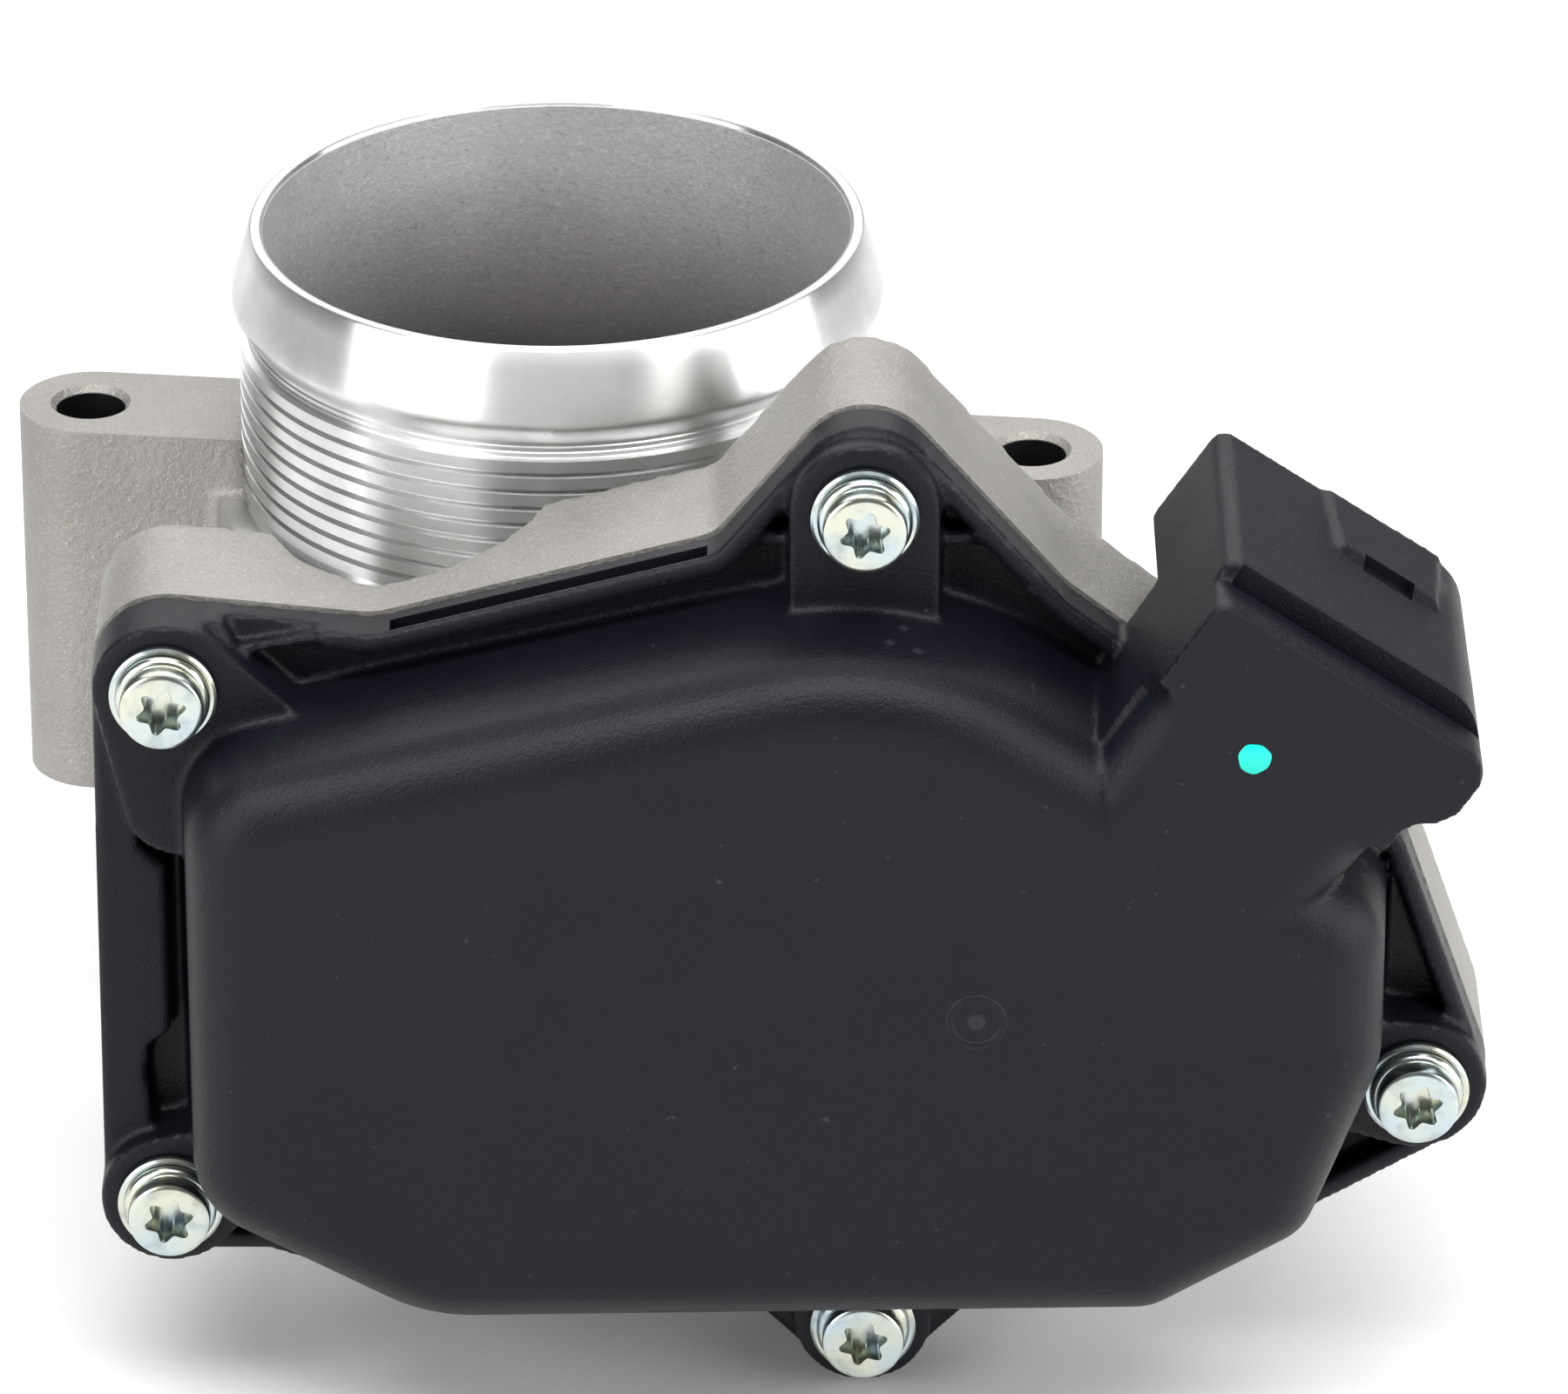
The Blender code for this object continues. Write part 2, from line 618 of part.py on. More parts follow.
def cut_cover(body):
    past = 2 * MM
    inner = rounded(dome_corners(), -DOME_WALL - DOME_ROUND / 2)
    hollow = pillow('hollow', inner, DOME_FACE_Y + DOME_WALL, COVER_BACK_Y + 8 * MM, DOME_ROUND / 2)
    cut(hollow, cylinder('socket_core', AXLE_R + 2 * MM, DOME_FACE_Y, AXLE_FRONT_Y + 2.0 * MM,
                         (MID_X, MID_Z)))
    cut(body, hollow)
    cut(body, cylinder('axle_seat', AXLE_R + RUN, AXLE_FRONT_Y - GAP, AXLE_FRONT_Y + 4 * MM, (MID_X, MID_Z)))
    cut(body, neck_hollow())
    inner_low = -PLUG_LENGTH / 2 + PLUG_WALL
    half = PLUG_WIDTH / 2 - PLUG_WALL
    socket = rounded(plug_corners(inner_low, -inner_low, -half, half, 3.5 * MM, half - 0.1 * MM))
    cut(body, prism('plug_socket', socket, SOCKET_FLOOR_Y, PLUG_MOUTH_Y + past))
    for number in range(5):
        cut(body, pin_slot(number))
    groove_out = prism('groove', rounded(dome_corners(), 1.9 * MM), COVER_BACK_Y - 1.5 * MM,
                       COVER_BACK_Y + past)
    cut(groove_out, prism('groove_core', rounded(dome_corners(), 0.7 * MM), COVER_BACK_Y - 3 * MM,
                          COVER_BACK_Y + 2 * past))
    cut(body, groove_out)
    for number, spot in enumerate(SCREWS, 1):
        cut(body, cylinder(f'cover_hole_{number}', SCREW_R + GAP, BOSS_FACE_Y - past, COVER_BACK_Y + past, spot))


def neck_hollow():
    """The room inside the neck for the terminals, open to the dome."""
    wide = 2 * PIN_PITCH + PIN_WIDTH
    corners = [
        (*plug_point(-wide, -24 * MM), 1 * MM),
        (*plug_point(wide, -24 * MM), 1 * MM),
        (*plug_point(wide, 1.6 * MM), 1 * MM),
        (*plug_point(-wide, 1.6 * MM), 1 * MM),
    ]
    return prism('neck_hollow', rounded(corners), DOME_FACE_Y + DOME_WALL, NECK_HOLLOW_BACK_Y)


def pin_offset(number):
    return (number - 2) * PIN_PITCH


def pin_slot(number):
    along = pin_offset(number)
    half_w = PIN_WIDTH / 2 + GAP
    half_t = PIN_THICK / 2 + GAP
    sides = [(along - half_w, -half_t), (along + half_w, -half_t), (along + half_w, half_t),
             (along - half_w, half_t)]
    outline = [plug_point(a, u) for a, u in sides]
    return prism(f'pin_slot_{number + 1}', outline, NECK_HOLLOW_BACK_Y - 1 * MM, SOCKET_FLOOR_Y + 1 * MM)


def gasket():
    """Rubber ring in the cover's groove."""
    outer = rounded(dome_corners(), 1.9 * MM - GAP)
    body = prism('cover_gasket', outer, COVER_BACK_Y - 1.5 * MM + GAP, COVER_BACK_Y - 0.05 * MM)
    cut(body, prism('gasket_core', rounded(dome_corners(), 0.7 * MM + GAP), COVER_BACK_Y - 4 * MM,
                    COVER_BACK_Y + 2 * MM))
    return keep(body, RUBBER)


# ---------------------------------------------------------------- fasteners

def cover_fasteners():
    """Five captive sets: a flat washer, a lock washer and a screw with a six-lobe recess."""
    flat_y = BOSS_FACE_Y - STACK_GAP
    lock_y = flat_y - FLAT_WASHER_T - STACK_GAP
    head_y = lock_y - LOCK_WASHER_T - STACK_GAP
    bore = SCREW_R + STACK_GAP
    for number, spot in enumerate(SCREWS, 1):
        keep(ring(f'flat_washer_{number}', bore, FLAT_WASHER_R, flat_y - FLAT_WASHER_T, flat_y, spot,
                  steps=ROUND_STEPS), ZINC)
        keep(ring(f'lock_washer_{number}', bore, LOCK_WASHER_R, lock_y - LOCK_WASHER_T, lock_y, spot,
                  steps=SMALL_STEPS), ZINC)
        profile = [
            (0, PARTING_Y + SCREW_DEPTH),
            (SCREW_R - 0.6 * MM, PARTING_Y + SCREW_DEPTH),
            (SCREW_R, PARTING_Y + SCREW_DEPTH - 1.0 * MM),
            (SCREW_R, head_y),
            (HEAD_R, head_y),
            (HEAD_R, head_y - HEAD_T + 0.3 * MM),
            (HEAD_R - 0.4 * MM, head_y - HEAD_T),
            (0, head_y - HEAD_T),
        ]
        screw = turned(f'cover_screw_{number}', profile, spot, 'Y', SMALL_STEPS)
        recess = lobes(f'recess_{number}', spot, 1.95 * MM, 0.42 * MM, head_y - HEAD_T)
        cut(screw, recess)
        keep(screw, ZINC)


def lobes(name, spot, radius, swing, face_y):
    """Cutter for a six-lobe recess."""
    points = []
    for k in range(LOBE_STEPS):
        angle = 2 * math.pi * k / LOBE_STEPS
        reach = radius + swing * math.cos(6 * angle) - swing / 2
        points.append(Vector(spot) + Vector((math.cos(angle), math.sin(angle))) * reach)
    return prism(name, points, face_y - 1 * MM, face_y + 1.7 * MM)


# ---------------------------------------------------------------- throttle shaft group

def plate_radius():
    return BORE_R - PLATE_CLEAR


def shaft():
    """Steel shaft across the bore, slotted for the plate."""
    profile = [
        (0, SHAFT_REAR_Y),
        (SHAFT_R - 0.5 * MM, SHAFT_REAR_Y),
        (SHAFT_R, SHAFT_REAR_Y - 0.5 * MM),
        (SHAFT_R, SHAFT_FRONT_Y + 0.5 * MM),
        (SHAFT_R - 0.5 * MM, SHAFT_FRONT_Y),
        (0, SHAFT_FRONT_Y),
    ]
    body = turned('throttle_shaft', profile, (0, SHAFT_Z), 'Y', ROUND_STEPS)
    half = PLATE_THICK / 2 + GAP
    length = plate_radius() + GAP
    cut(body, box('plate_slot', (-half, -length, SHAFT_Z - 2 * SHAFT_R), (half, length, SHAFT_Z + 2 * SHAFT_R)))
    for number, y in enumerate((-PLATE_SCREW_Y, PLATE_SCREW_Y), 1):
        cut(body, cylinder(f'shaft_screw_hole_{number}', PLATE_SCREW_R + GAP, -2 * SHAFT_R, 2 * SHAFT_R,
                           (y, SHAFT_Z), 'X', 12))
        cut(body, cylinder(f'screw_seat_{number}', PLATE_SCREW_R + 1.6 * MM, SHAFT_R - 1.2 * MM, 2 * SHAFT_R,
                           (y, SHAFT_Z), 'X', SMALL_STEPS))
    return keep(body, STEEL)


def plate():
    """Brass butterfly plate, edge-on to the flow at rest."""
    body = cylinder('throttle_plate', plate_radius(), -PLATE_THICK / 2, PLATE_THICK / 2, (0, SHAFT_Z), 'X',
                    TUBE_STEPS)
    for number, y in enumerate((-PLATE_SCREW_Y, PLATE_SCREW_Y), 1):
        cut(body, cylinder(f'plate_hole_{number}', PLATE_SCREW_R + GAP, -3 * PLATE_THICK, 3 * PLATE_THICK,
                           (y, SHAFT_Z), 'X', 12))
    return keep(body, BRASS)


def plate_screws():
    for number, y in enumerate((-PLATE_SCREW_Y, PLATE_SCREW_Y), 1):
        head_r = PLATE_SCREW_R + 1.3 * MM
        seat = SHAFT_R - 1.2 * MM + GAP / 2
        profile = [
            (0, seat + 1.4 * MM),
            (head_r - 0.6 * MM, seat + 1.4 * MM),
            (head_r, seat + 0.7 * MM),
            (head_r, seat),
            (PLATE_SCREW_R, seat),
            (PLATE_SCREW_R, 0.6 * MM - SHAFT_R),
            (0, 0.6 * MM - SHAFT_R),
        ]
        screw = turned(f'plate_screw_{number}', profile, steps=12)
        screw.rotation_euler = (0, math.radians(90), 0)
        screw.location = (0, y, SHAFT_Z)
        cut(screw, box(f'driver_slot_{number}', (seat + 0.8 * MM, y - 0.35 * MM, SHAFT_Z - 2 * head_r),
                       (seat + 3 * MM, y + 0.35 * MM, SHAFT_Z + 2 * head_r)))
        keep(screw, STEEL)


def shaft_supports():
    """Lip seals, bearings, the circlip behind the rear bearing and the plug that closes its boss."""
    at = (0, SHAFT_Z)
    bore = SHAFT_R + RUN
    front = FRONT_SEAT_Y - GAP
    keep(ring('front_shaft_seal', bore, BEARING_R, front - SEAL_LEN, front, at, steps=ROUND_STEPS), RUBBER)
    front -= SEAL_LEN + GAP
    keep(ring('front_bearing', bore, BEARING_R, front - BEARING_LEN, front, at, steps=ROUND_STEPS), STEEL)
    rear = REAR_SEAT_Y + GAP
    keep(ring('rear_shaft_seal', bore, BEARING_R, rear, rear + SEAL_LEN, at, steps=ROUND_STEPS), RUBBER)
    rear += SEAL_LEN + GAP
    keep(ring('rear_bearing', bore, BEARING_R, rear, rear + BEARING_LEN, at, steps=ROUND_STEPS), STEEL)
    rear += BEARING_LEN + GAP
    plug_y = REAR_BOSS_Y - 2.0 * MM
    profile = [
        (0, plug_y + 1.2 * MM),
        (BEARING_R - 1.2 * MM, plug_y + 1.2 * MM),
        (BEARING_R - 1.0 * MM, plug_y + 1.5 * MM),
        (BEARING_R, plug_y + 1.5 * MM),
        (BEARING_R, plug_y - 0.5 * MM),
        (0, plug_y - 0.5 * MM),
    ]
    keep(turned('rear_bore_plug', profile, at, 'Y', ROUND_STEPS), STEEL)


def sector():
    """Toothed sector with its hub, moulded on the shaft's front end."""
    centre = Vector((0, SHAFT_Z))
    toward = MID - centre
    mesh_angle = math.atan2(toward.y, toward.x)
    low = mesh_angle - THROTTLE_TRAVEL - GEAR_MARGIN
    high = mesh_angle + GEAR_MARGIN
    points = gear_outline(centre, SECTOR_R, SECTOR_TEETH, mesh_angle, (low, high))
    steps = 10
    for k in range(steps + 1):
        angle = high + math.radians(55) + (low - high + math.radians(250)) * k / steps
        points.append(centre + Vector((math.cos(angle), math.sin(angle))) * (GEAR_HUB_R + 3 * MM))
    body = prism('sector_gear', points, SECTOR_BACK_Y - SECTOR_T, SECTOR_BACK_Y)
    cut(body, cylinder('sector_bore', SHAFT_R + RUN, -90 * MM, 0, centre, steps=ROUND_STEPS))
    middle = (low + high) / 2
    for number, lean in enumerate((-0.42, 0.0, 0.42), 1):
        angle = middle + lean * 1.35
        spot = centre + Vector((math.cos(angle), math.sin(angle))) * 18.2 * MM
        cut(body, cylinder(f'sector_window_{number}', 4.0 * MM, -90 * MM, 0, spot))
    return keep(body, NATURAL_PLASTIC)


def sensor_rotor():
    """Metal target that turns in front of the sensor board."""
    back = SECTOR_BACK_Y - SECTOR_T - GAP
    outline = []
    for k in range(36):
        angle = 2 * math.pi * k / 36
        reach = ROTOR_DISC_R * (1.0 if math.cos(3 * angle) > 0 else 0.72)
        outline.append(Vector((0, SHAFT_Z)) + Vector((math.cos(angle), math.sin(angle))) * reach)
    body = prism('sensor_rotor', outline, back - ROTOR_DISC_T, back)
    cut(body, cylinder('rotor_bore', SHAFT_R + RUN, -90 * MM, 0, (0, SHAFT_Z), steps=ROUND_STEPS))
    return keep(body, BRASS)


def return_spring():
    """Torsion spring round the guide bush, with a straight leg at each end."""
    curve = bpy.data.curves.new('return_spring', 'CURVE')
    curve.dimensions = '3D'
    curve.bevel_depth = SPRING_WIRE_R
    curve.bevel_resolution = 1
    curve.use_fill_caps = True
    per_turn = 12
    start_y = FLOOR_Y - 1.0 * MM
    total = SPRING_TURNS * per_turn
    route = []
    for k in range(total + 1):
        angle = math.pi / 2 + 2 * math.pi * k / per_turn
        y = start_y - SPRING_PITCH * k / per_turn
        route.append(Vector((SPRING_R * math.cos(angle), y, SHAFT_Z + SPRING_R * math.sin(angle))))
    leg = Vector((-SPRING_LEG, 0, 0))
    route.insert(0, route[0] + leg)
    route.append(route[-1] + leg)
    spline = curve.splines.new('POLY')
    spline.points.add(len(route) - 1)
    for slot, point in zip(spline.points, route):
        slot.co = (*point, 1)
    obj = meshed(bpy.data.objects.new('return_spring', curve))
    obj.data.shade_smooth()
    return keep(obj, STEEL)


def spring_bush():
    high = FLOOR_Y - GAP
    low = high - SPRING_TURNS * SPRING_PITCH - 1.4 * MM
    wall = SPRING_R - SPRING_WIRE_R - 0.5 * MM
    return keep(ring('spring_bush', SHAFT_R + GAP, wall, low, high, (0, SHAFT_Z), steps=ROUND_STEPS),
                NATURAL_PLASTIC)


# ---------------------------------------------------------------- intermediate gear

def intermediate_gear():
    centre = MID
    to_sector = Vector((0, SHAFT_Z)) - MID
    to_motor = Vector((MOTOR_X, MOTOR_Z)) - MID
    sector_side = math.atan2(to_sector.y, to_sector.x)
    motor_side = math.atan2(to_motor.y, to_motor.x)
    half_pitch = math.pi / SMALL_TEETH
    small = gear_outline(centre, SMALL_R, SMALL_TEETH, sector_side + half_pitch)
    body = prism('intermediate_gear', small, LARGE_BACK_Y - 0.5 * MM, SMALL_BACK_Y)
    large = gear_outline(centre, LARGE_R, LARGE_TEETH, motor_side)
    add(body, prism('large_wheel', large, LARGE_BACK_Y - LARGE_T, LARGE_BACK_Y))
    cut(body, cylinder('gear_bore', AXLE_R + RUN, -90 * MM, 0, centre, steps=ROUND_STEPS))
    for number in range(4):
        angle = math.pi * (0.25 + number / 2)
        spot = centre + Vector((math.cos(angle), math.sin(angle))) * 14.6 * MM
        cut(body, cylinder(f'gear_window_{number + 1}', 4.2 * MM, -90 * MM, 0, spot, steps=8))
    return keep(body, NATURAL_PLASTIC)


def intermediate_axle():
    return keep(cylinder('intermediate_axle', AXLE_R, AXLE_FRONT_Y, AXLE_END_Y, (MID_X, MID_Z),
                         steps=ROUND_STEPS), STEEL)


# ---------------------------------------------------------------- motor

def motor_screw_spots():
    reach = MOTOR_R + MOTOR_SCREW_OUT
    spots = []
    for degrees in MOTOR_SCREW_ANGLES:
        angle = math.radians(degrees)
        spots.append((MOTOR_X + reach * math.cos(angle), MOTOR_Z + reach * math.sin(angle)))
    return spots


def motor():
    """Can, rotor shaft, pinion, the bracket that clamps the can, and the washer behind it."""
    at = (MOTOR_X, MOTOR_Z)
    profile = [
        (0, MOTOR_BACK_Y),
        (MOTOR_R - 1.2 * MM, MOTOR_BACK_Y),
        (MOTOR_R, MOTOR_BACK_Y - 1.2 * MM),
        (MOTOR_R, MOTOR_FRONT_Y + 1.0 * MM),
        (MOTOR_R - 1.0 * MM, MOTOR_FRONT_Y),
        (5.0 * MM, MOTOR_FRONT_Y),
        (5.0 * MM, MOTOR_FRONT_Y - 2.0 * MM),
        (0, MOTOR_FRONT_Y - 2.0 * MM),
    ]
    can = turned('motor_can', profile, at, 'Y', ROUND_STEPS)
    cut(can, cylinder('rotor_hole', MOTOR_SHAFT_R + GAP, MOTOR_FRONT_Y - 5 * MM,
                      MOTOR_FRONT_Y + MOTOR_SHAFT_DEPTH + GAP, at))
    for number, spot in enumerate(contact_spots(), 1):
        cut(can, box(f'contact_slot_{number}',
                     (spot[0] - 1.6 * MM, MOTOR_FRONT_Y - 5 * MM, spot[1] - 0.7 * MM),
                     (spot[0] + 1.6 * MM, MOTOR_FRONT_Y + 3 * MM, spot[1] + 0.7 * MM)))
    keep(can, STEEL)
    front = LARGE_BACK_Y - LARGE_T - 0.6 * MM
    keep(cylinder('motor_shaft', MOTOR_SHAFT_R, front, MOTOR_FRONT_Y + MOTOR_SHAFT_DEPTH, at), STEEL)
    to_mid = MID - Vector(at)
    tooth = math.atan2(to_mid.y, to_mid.x) + math.pi / PINION_TEETH
    pinion = prism('motor_pinion', gear_outline(at, PINION_R, PINION_TEETH, tooth),
                   LARGE_BACK_Y - LARGE_T - 0.3 * MM, LARGE_BACK_Y + 1.0 * MM)
    cut(pinion, cylinder('pinion_bore', MOTOR_SHAFT_R + RUN, -90 * MM, 0, at))
    keep(pinion, BRASS)
    spots = motor_screw_spots()
    ears = [(MOTOR_X, MOTOR_Z, MOTOR_R + 1.4 * MM)] + [(x, z, 3.2 * MM) for x, z in spots]
    bracket = prism('motor_bracket', hull(ears, SMALL_STEPS), FLOOR_Y - GAP - BRACKET_T, FLOOR_Y - GAP)
    cut(bracket, cylinder('can_hole', MOTOR_R + GAP, FLOOR_Y - 5 * MM, FLOOR_Y + 5 * MM, at,
                          steps=ROUND_STEPS))
    for number, spot in enumerate(spots, 1):
        cut(bracket, cylinder(f'ear_hole_{number}', MOTOR_SCREW_R + GAP, FLOOR_Y - 5 * MM, FLOOR_Y + 5 * MM,
                              spot, steps=12))
    keep(bracket, STEEL)
    seat = FLOOR_Y - GAP - BRACKET_T - STACK_GAP
    for number, spot in enumerate(spots, 1):
        profile = [
            (0, CHAMBER_BACK_Y - 0.3 * MM),
            (MOTOR_SCREW_R, CHAMBER_BACK_Y - 0.3 * MM),
            (MOTOR_SCREW_R, seat),
            (2.8 * MM, seat),
            (2.8 * MM, seat - 1.4 * MM),
            (0, seat - 1.4 * MM),
        ]
        screw = turned(f'motor_screw_{number}', profile, spot, 'Y', 12)
        cut(screw, lobes(f'motor_recess_{number}', spot, 1.35 * MM, 0.3 * MM, seat - 1.4 * MM))
        keep(screw, ZINC)
    keep(ring('motor_wave_washer', 6.0 * MM, MOTOR_R - 1.0 * MM, MOTOR_BACK_Y + 0.2 * MM,
              MOTOR_BACK_Y + 0.7 * MM, at, steps=ROUND_STEPS), STEEL)


def contact_spots():
    return [(MOTOR_X - 2.6 * MM, MOTOR_Z + 9.0 * MM), (MOTOR_X + 2.6 * MM, MOTOR_Z + 9.0 * MM)]


def motor_contacts():
    """Two blades from the brush holder up to the cover's wiring."""
    for number, (x, z) in enumerate(contact_spots(), 1):
        blade = box(f'motor_contact_{number}', (x - 1.2 * MM, MOTOR_FRONT_Y - 10.0 * MM, z - 0.4 * MM),
                    (x + 1.2 * MM, MOTOR_FRONT_Y + 2.6 * MM, z + 0.4 * MM))
        keep(blade, BRASS)


# ---------------------------------------------------------------- sensor board and terminals

def sensor_board():
    """Position sensor board above the rotor, held in the cover."""
    corners = [
        (-18 * MM, -7 * MM, 2 * MM),
        (9.4 * MM, -7 * MM, 2 * MM),
        (9.4 * MM, 32 * MM, 2 * MM),
        (-18 * MM, 32 * MM, 2 * MM),
    ]
    return keep(prism('sensor_board', rounded(corners, steps=2), BOARD_BACK_Y - BOARD_T, BOARD_BACK_Y), BOARD)


def terminals():
    """Five bent blades: one leg stands in the socket, the other lies in the neck towards the dome."""
    mouth_end = SOCKET_FLOOR_Y + PIN_REACH
    for number in range(5):
        along = pin_offset(number)
        half = PIN_THICK / 2
        tail = -PIN_TAIL + 1.5 * MM * abs(number - 2)
        leg = [(mouth_end, -half), (mouth_end, half), (PIN_BACK_Y, half), (PIN_BACK_Y, tail),
               (PIN_BACK_Y + PIN_THICK, tail), (PIN_BACK_Y + PIN_THICK, -half)]
        keep(blade_from(f'terminal_{number + 1}', leg, along), GOLD)


def blade_from(name, outline, along):
    """An outline of (y, up) points of the connector's plane, as thick as a pin is wide."""
    points = [Vector((y, up)) for y, up in outline]
    blade = prism(name, points, -PIN_WIDTH / 2, PIN_WIDTH / 2, axis='Z')
    centre = plug_point(along, 0)
    turn = Matrix(((0, PLUG_UP.x, PLUG_ALONG.x, centre.x),
                   (1, 0, 0, 0),
                   (0, PLUG_UP.y, PLUG_ALONG.y, centre.y),
                   (0, 0, 0, 1)))
    blade.matrix_world = turn
    return blade


# ---------------------------------------------------------------- build

for item in list(bpy.data.objects):
    bpy.data.objects.remove(item)

MODEL = bpy.data.collections.new('throttle_body')
GUIDES = bpy.data.collections.new('guides')
bpy.context.scene.collection.children.link(MODEL)
bpy.context.scene.collection.children.link(GUIDES)

ALUMINIUM = paint('cast_aluminium', (0.62, 0.61, 0.58), 0.45, 1.0)
BLACK_PLASTIC = paint('black_plastic', (0.022, 0.023, 0.028), 0.45)
ZINC = paint('zinc_plate', (0.72, 0.72, 0.62), 0.25, 1.0)
STEEL = paint('steel', (0.55, 0.55, 0.56), 0.3, 1.0)
BRASS = paint('brass', (0.75, 0.58, 0.3), 0.3, 1.0)
GOLD = paint('gold_plate', (0.85, 0.66, 0.3), 0.25, 1.0)
RUBBER = paint('black_rubber', (0.03, 0.03, 0.03), 0.8)
NATURAL_PLASTIC = paint('natural_plastic', (0.78, 0.75, 0.66), 0.5)
BOARD = paint('circuit_board', (0.04, 0.2, 0.09), 0.5)

# Places along the shaft and inside the connector that several pieces share.
FRONT_SEAT_Y = FLOOR_Y + SEAL_LEN + BEARING_LEN + 3 * GAP
REAR_SEAT_Y = BORE_R + 3.0 * MM
SHAFT_FRONT_Y = SECTOR_BACK_Y - SECTOR_T - ROTOR_DISC_T - 1.4 * MM
SHAFT_REAR_Y = REAR_SEAT_Y + SEAL_LEN + BEARING_LEN + 2.4 * MM
AXLE_END_Y = CHAMBER_BACK_Y + 1.5 * MM
AXLE_FRONT_Y = LARGE_BACK_Y - LARGE_T - 4.5 * MM
SOCKET_FLOOR_Y = PLUG_MOUTH_Y - PLUG_DEPTH
NECK_BACK_Y = SOCKET_FLOOR_Y + 1.5 * MM
NECK_HOLLOW_BACK_Y = SOCKET_FLOOR_Y - PLUG_FLOOR_T

casting()
cover()
gasket()
cover_fasteners()
shaft()
plate()
plate_screws()
shaft_supports()
sector()
sensor_rotor()
return_spring()
spring_bush()
intermediate_gear()
intermediate_axle()
motor()
motor_contacts()
sensor_board()
terminals()
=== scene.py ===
"""Looks of the electronic throttle body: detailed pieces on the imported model, materials, light and camera.

Lengths in the shape functions are millimetres in the model's frame: the bore runs along +Z about X = Y = 0,
the lower mounting face is Z = 0 and the gear cover is on the -Y side. The cover's outlines are (x, z) corners
with a rounding radius, anticlockwise as seen from the front.
"""
import json
import math

import bmesh
import bpy
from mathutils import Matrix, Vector


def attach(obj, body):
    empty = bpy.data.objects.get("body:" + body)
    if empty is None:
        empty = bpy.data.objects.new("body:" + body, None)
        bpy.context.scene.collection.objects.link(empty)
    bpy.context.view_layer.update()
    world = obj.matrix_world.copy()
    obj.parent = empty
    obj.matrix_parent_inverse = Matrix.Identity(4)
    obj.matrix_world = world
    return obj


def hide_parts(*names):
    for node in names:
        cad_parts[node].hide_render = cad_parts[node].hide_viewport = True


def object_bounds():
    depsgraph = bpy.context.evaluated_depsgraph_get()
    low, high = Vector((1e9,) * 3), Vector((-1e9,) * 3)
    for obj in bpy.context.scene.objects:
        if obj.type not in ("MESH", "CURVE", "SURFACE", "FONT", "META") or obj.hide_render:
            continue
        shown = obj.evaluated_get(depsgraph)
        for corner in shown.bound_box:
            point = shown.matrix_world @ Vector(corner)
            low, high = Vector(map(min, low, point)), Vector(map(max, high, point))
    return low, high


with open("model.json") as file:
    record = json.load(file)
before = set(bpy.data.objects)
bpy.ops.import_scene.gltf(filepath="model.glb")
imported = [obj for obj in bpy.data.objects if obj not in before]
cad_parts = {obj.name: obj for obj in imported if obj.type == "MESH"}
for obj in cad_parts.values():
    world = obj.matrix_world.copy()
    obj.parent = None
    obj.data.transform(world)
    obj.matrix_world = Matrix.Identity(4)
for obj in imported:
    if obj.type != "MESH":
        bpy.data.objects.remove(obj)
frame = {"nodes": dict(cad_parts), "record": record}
CAD_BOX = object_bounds()

MM = 0.001

# ---- the same sizes and places as in the CAD, in millimetres ----
BORE_R = 28.5
SPIGOT_TOP = 61.0
LEDGE = 33.0
BODY_R = 33.4
LUG_TOP = 39.0
LUG_R = 7.0
BOLT_HOLE_R = 3.4
BOLT_CHAMFER = 0.7
BOLT_CIRCLE_R = 46.3
LUG_ANGLES = (173.4, -6.6, 60.0)
SHAFT_Z = 10.0
SHAFT_BORE_R = 4.3
BEARING_SEAT_R = 7.62
REAR_SEAT_Y = 31.5
REAR_BOSS_Y = 44.0
REAR_BOSS_R = 9.5
FRONT_SEAT_Y = -31.3
CHAMBER_BACK = -36.0
CHAMBER_FLOOR = -39.0
SHALLOW_FLOOR = -48.3
PARTING = -51.2
COVER_BACK = -51.5
FLANGE_FLOOR = -52.9
RIM_FACE = -56.2
BOSS_FACE = -58.6
DOME_FACE = -71.85
MARK_FACE = -71.99
DOME_ROUND = 6.0
SCREWS = [(-35.5, 39.5), (29.4, 57.7), (81.6, -2.2), (-36.2, -14.5), (29.5, -27.9)]
BOSS_R = 6.8
SCREW_HOLE_R = 2.8
FLANGE_LOW = -26.5
MOTOR = (63.0, 12.0)
CLAMP_ROOM_R = 13.3
CLAMP_ROOM_CENTRE = (-13.4, -32.0)
MOTOR_R = 12.6
MOTOR_BACK = -16.2
AXLE = (35.385, 16.627)
AXLE_R = 2.5
PLUG_CENTRE = (72.1, 43.6)
PLUG_LENGTH = 30.6
PLUG_WIDTH = 12.0
PLUG_MOUTH = -38.0
PLUG_SHOULDER = -66.0
PLUG_WALL = 1.2
SOCKET_FLOOR = -53.5
COLLAR_DROP = 2.0
PIN_PITCH = 4.0
PLUG_ANGLE = math.radians(-34.0)
ALONG = Vector((math.cos(PLUG_ANGLE), math.sin(PLUG_ANGLE)))
UP = Vector((-math.sin(PLUG_ANGLE), math.cos(PLUG_ANGLE)))

# ---- detail that only this script has, in millimetres ----
RIM_WIDTH = 1.9
COVER_WALL = 2.2
NECK_R = 30.2
RIDGE_R = 30.92
RIDGE_PITCH = 1.76
RIDGES_TOP = 50.0
LATCH_AT = 3.2
LATCH_FRONT = -49.6
GATE_MARK = (39.8, 12.0)
PAINT_DOT = (65.0, 39.5)
CAST_VOXEL = 0.6
COVER_VOXEL = 0.42
FAR = 90  # where a cutter ends that only has to reach past the part


# ---------------------------------------------------------------- outlines

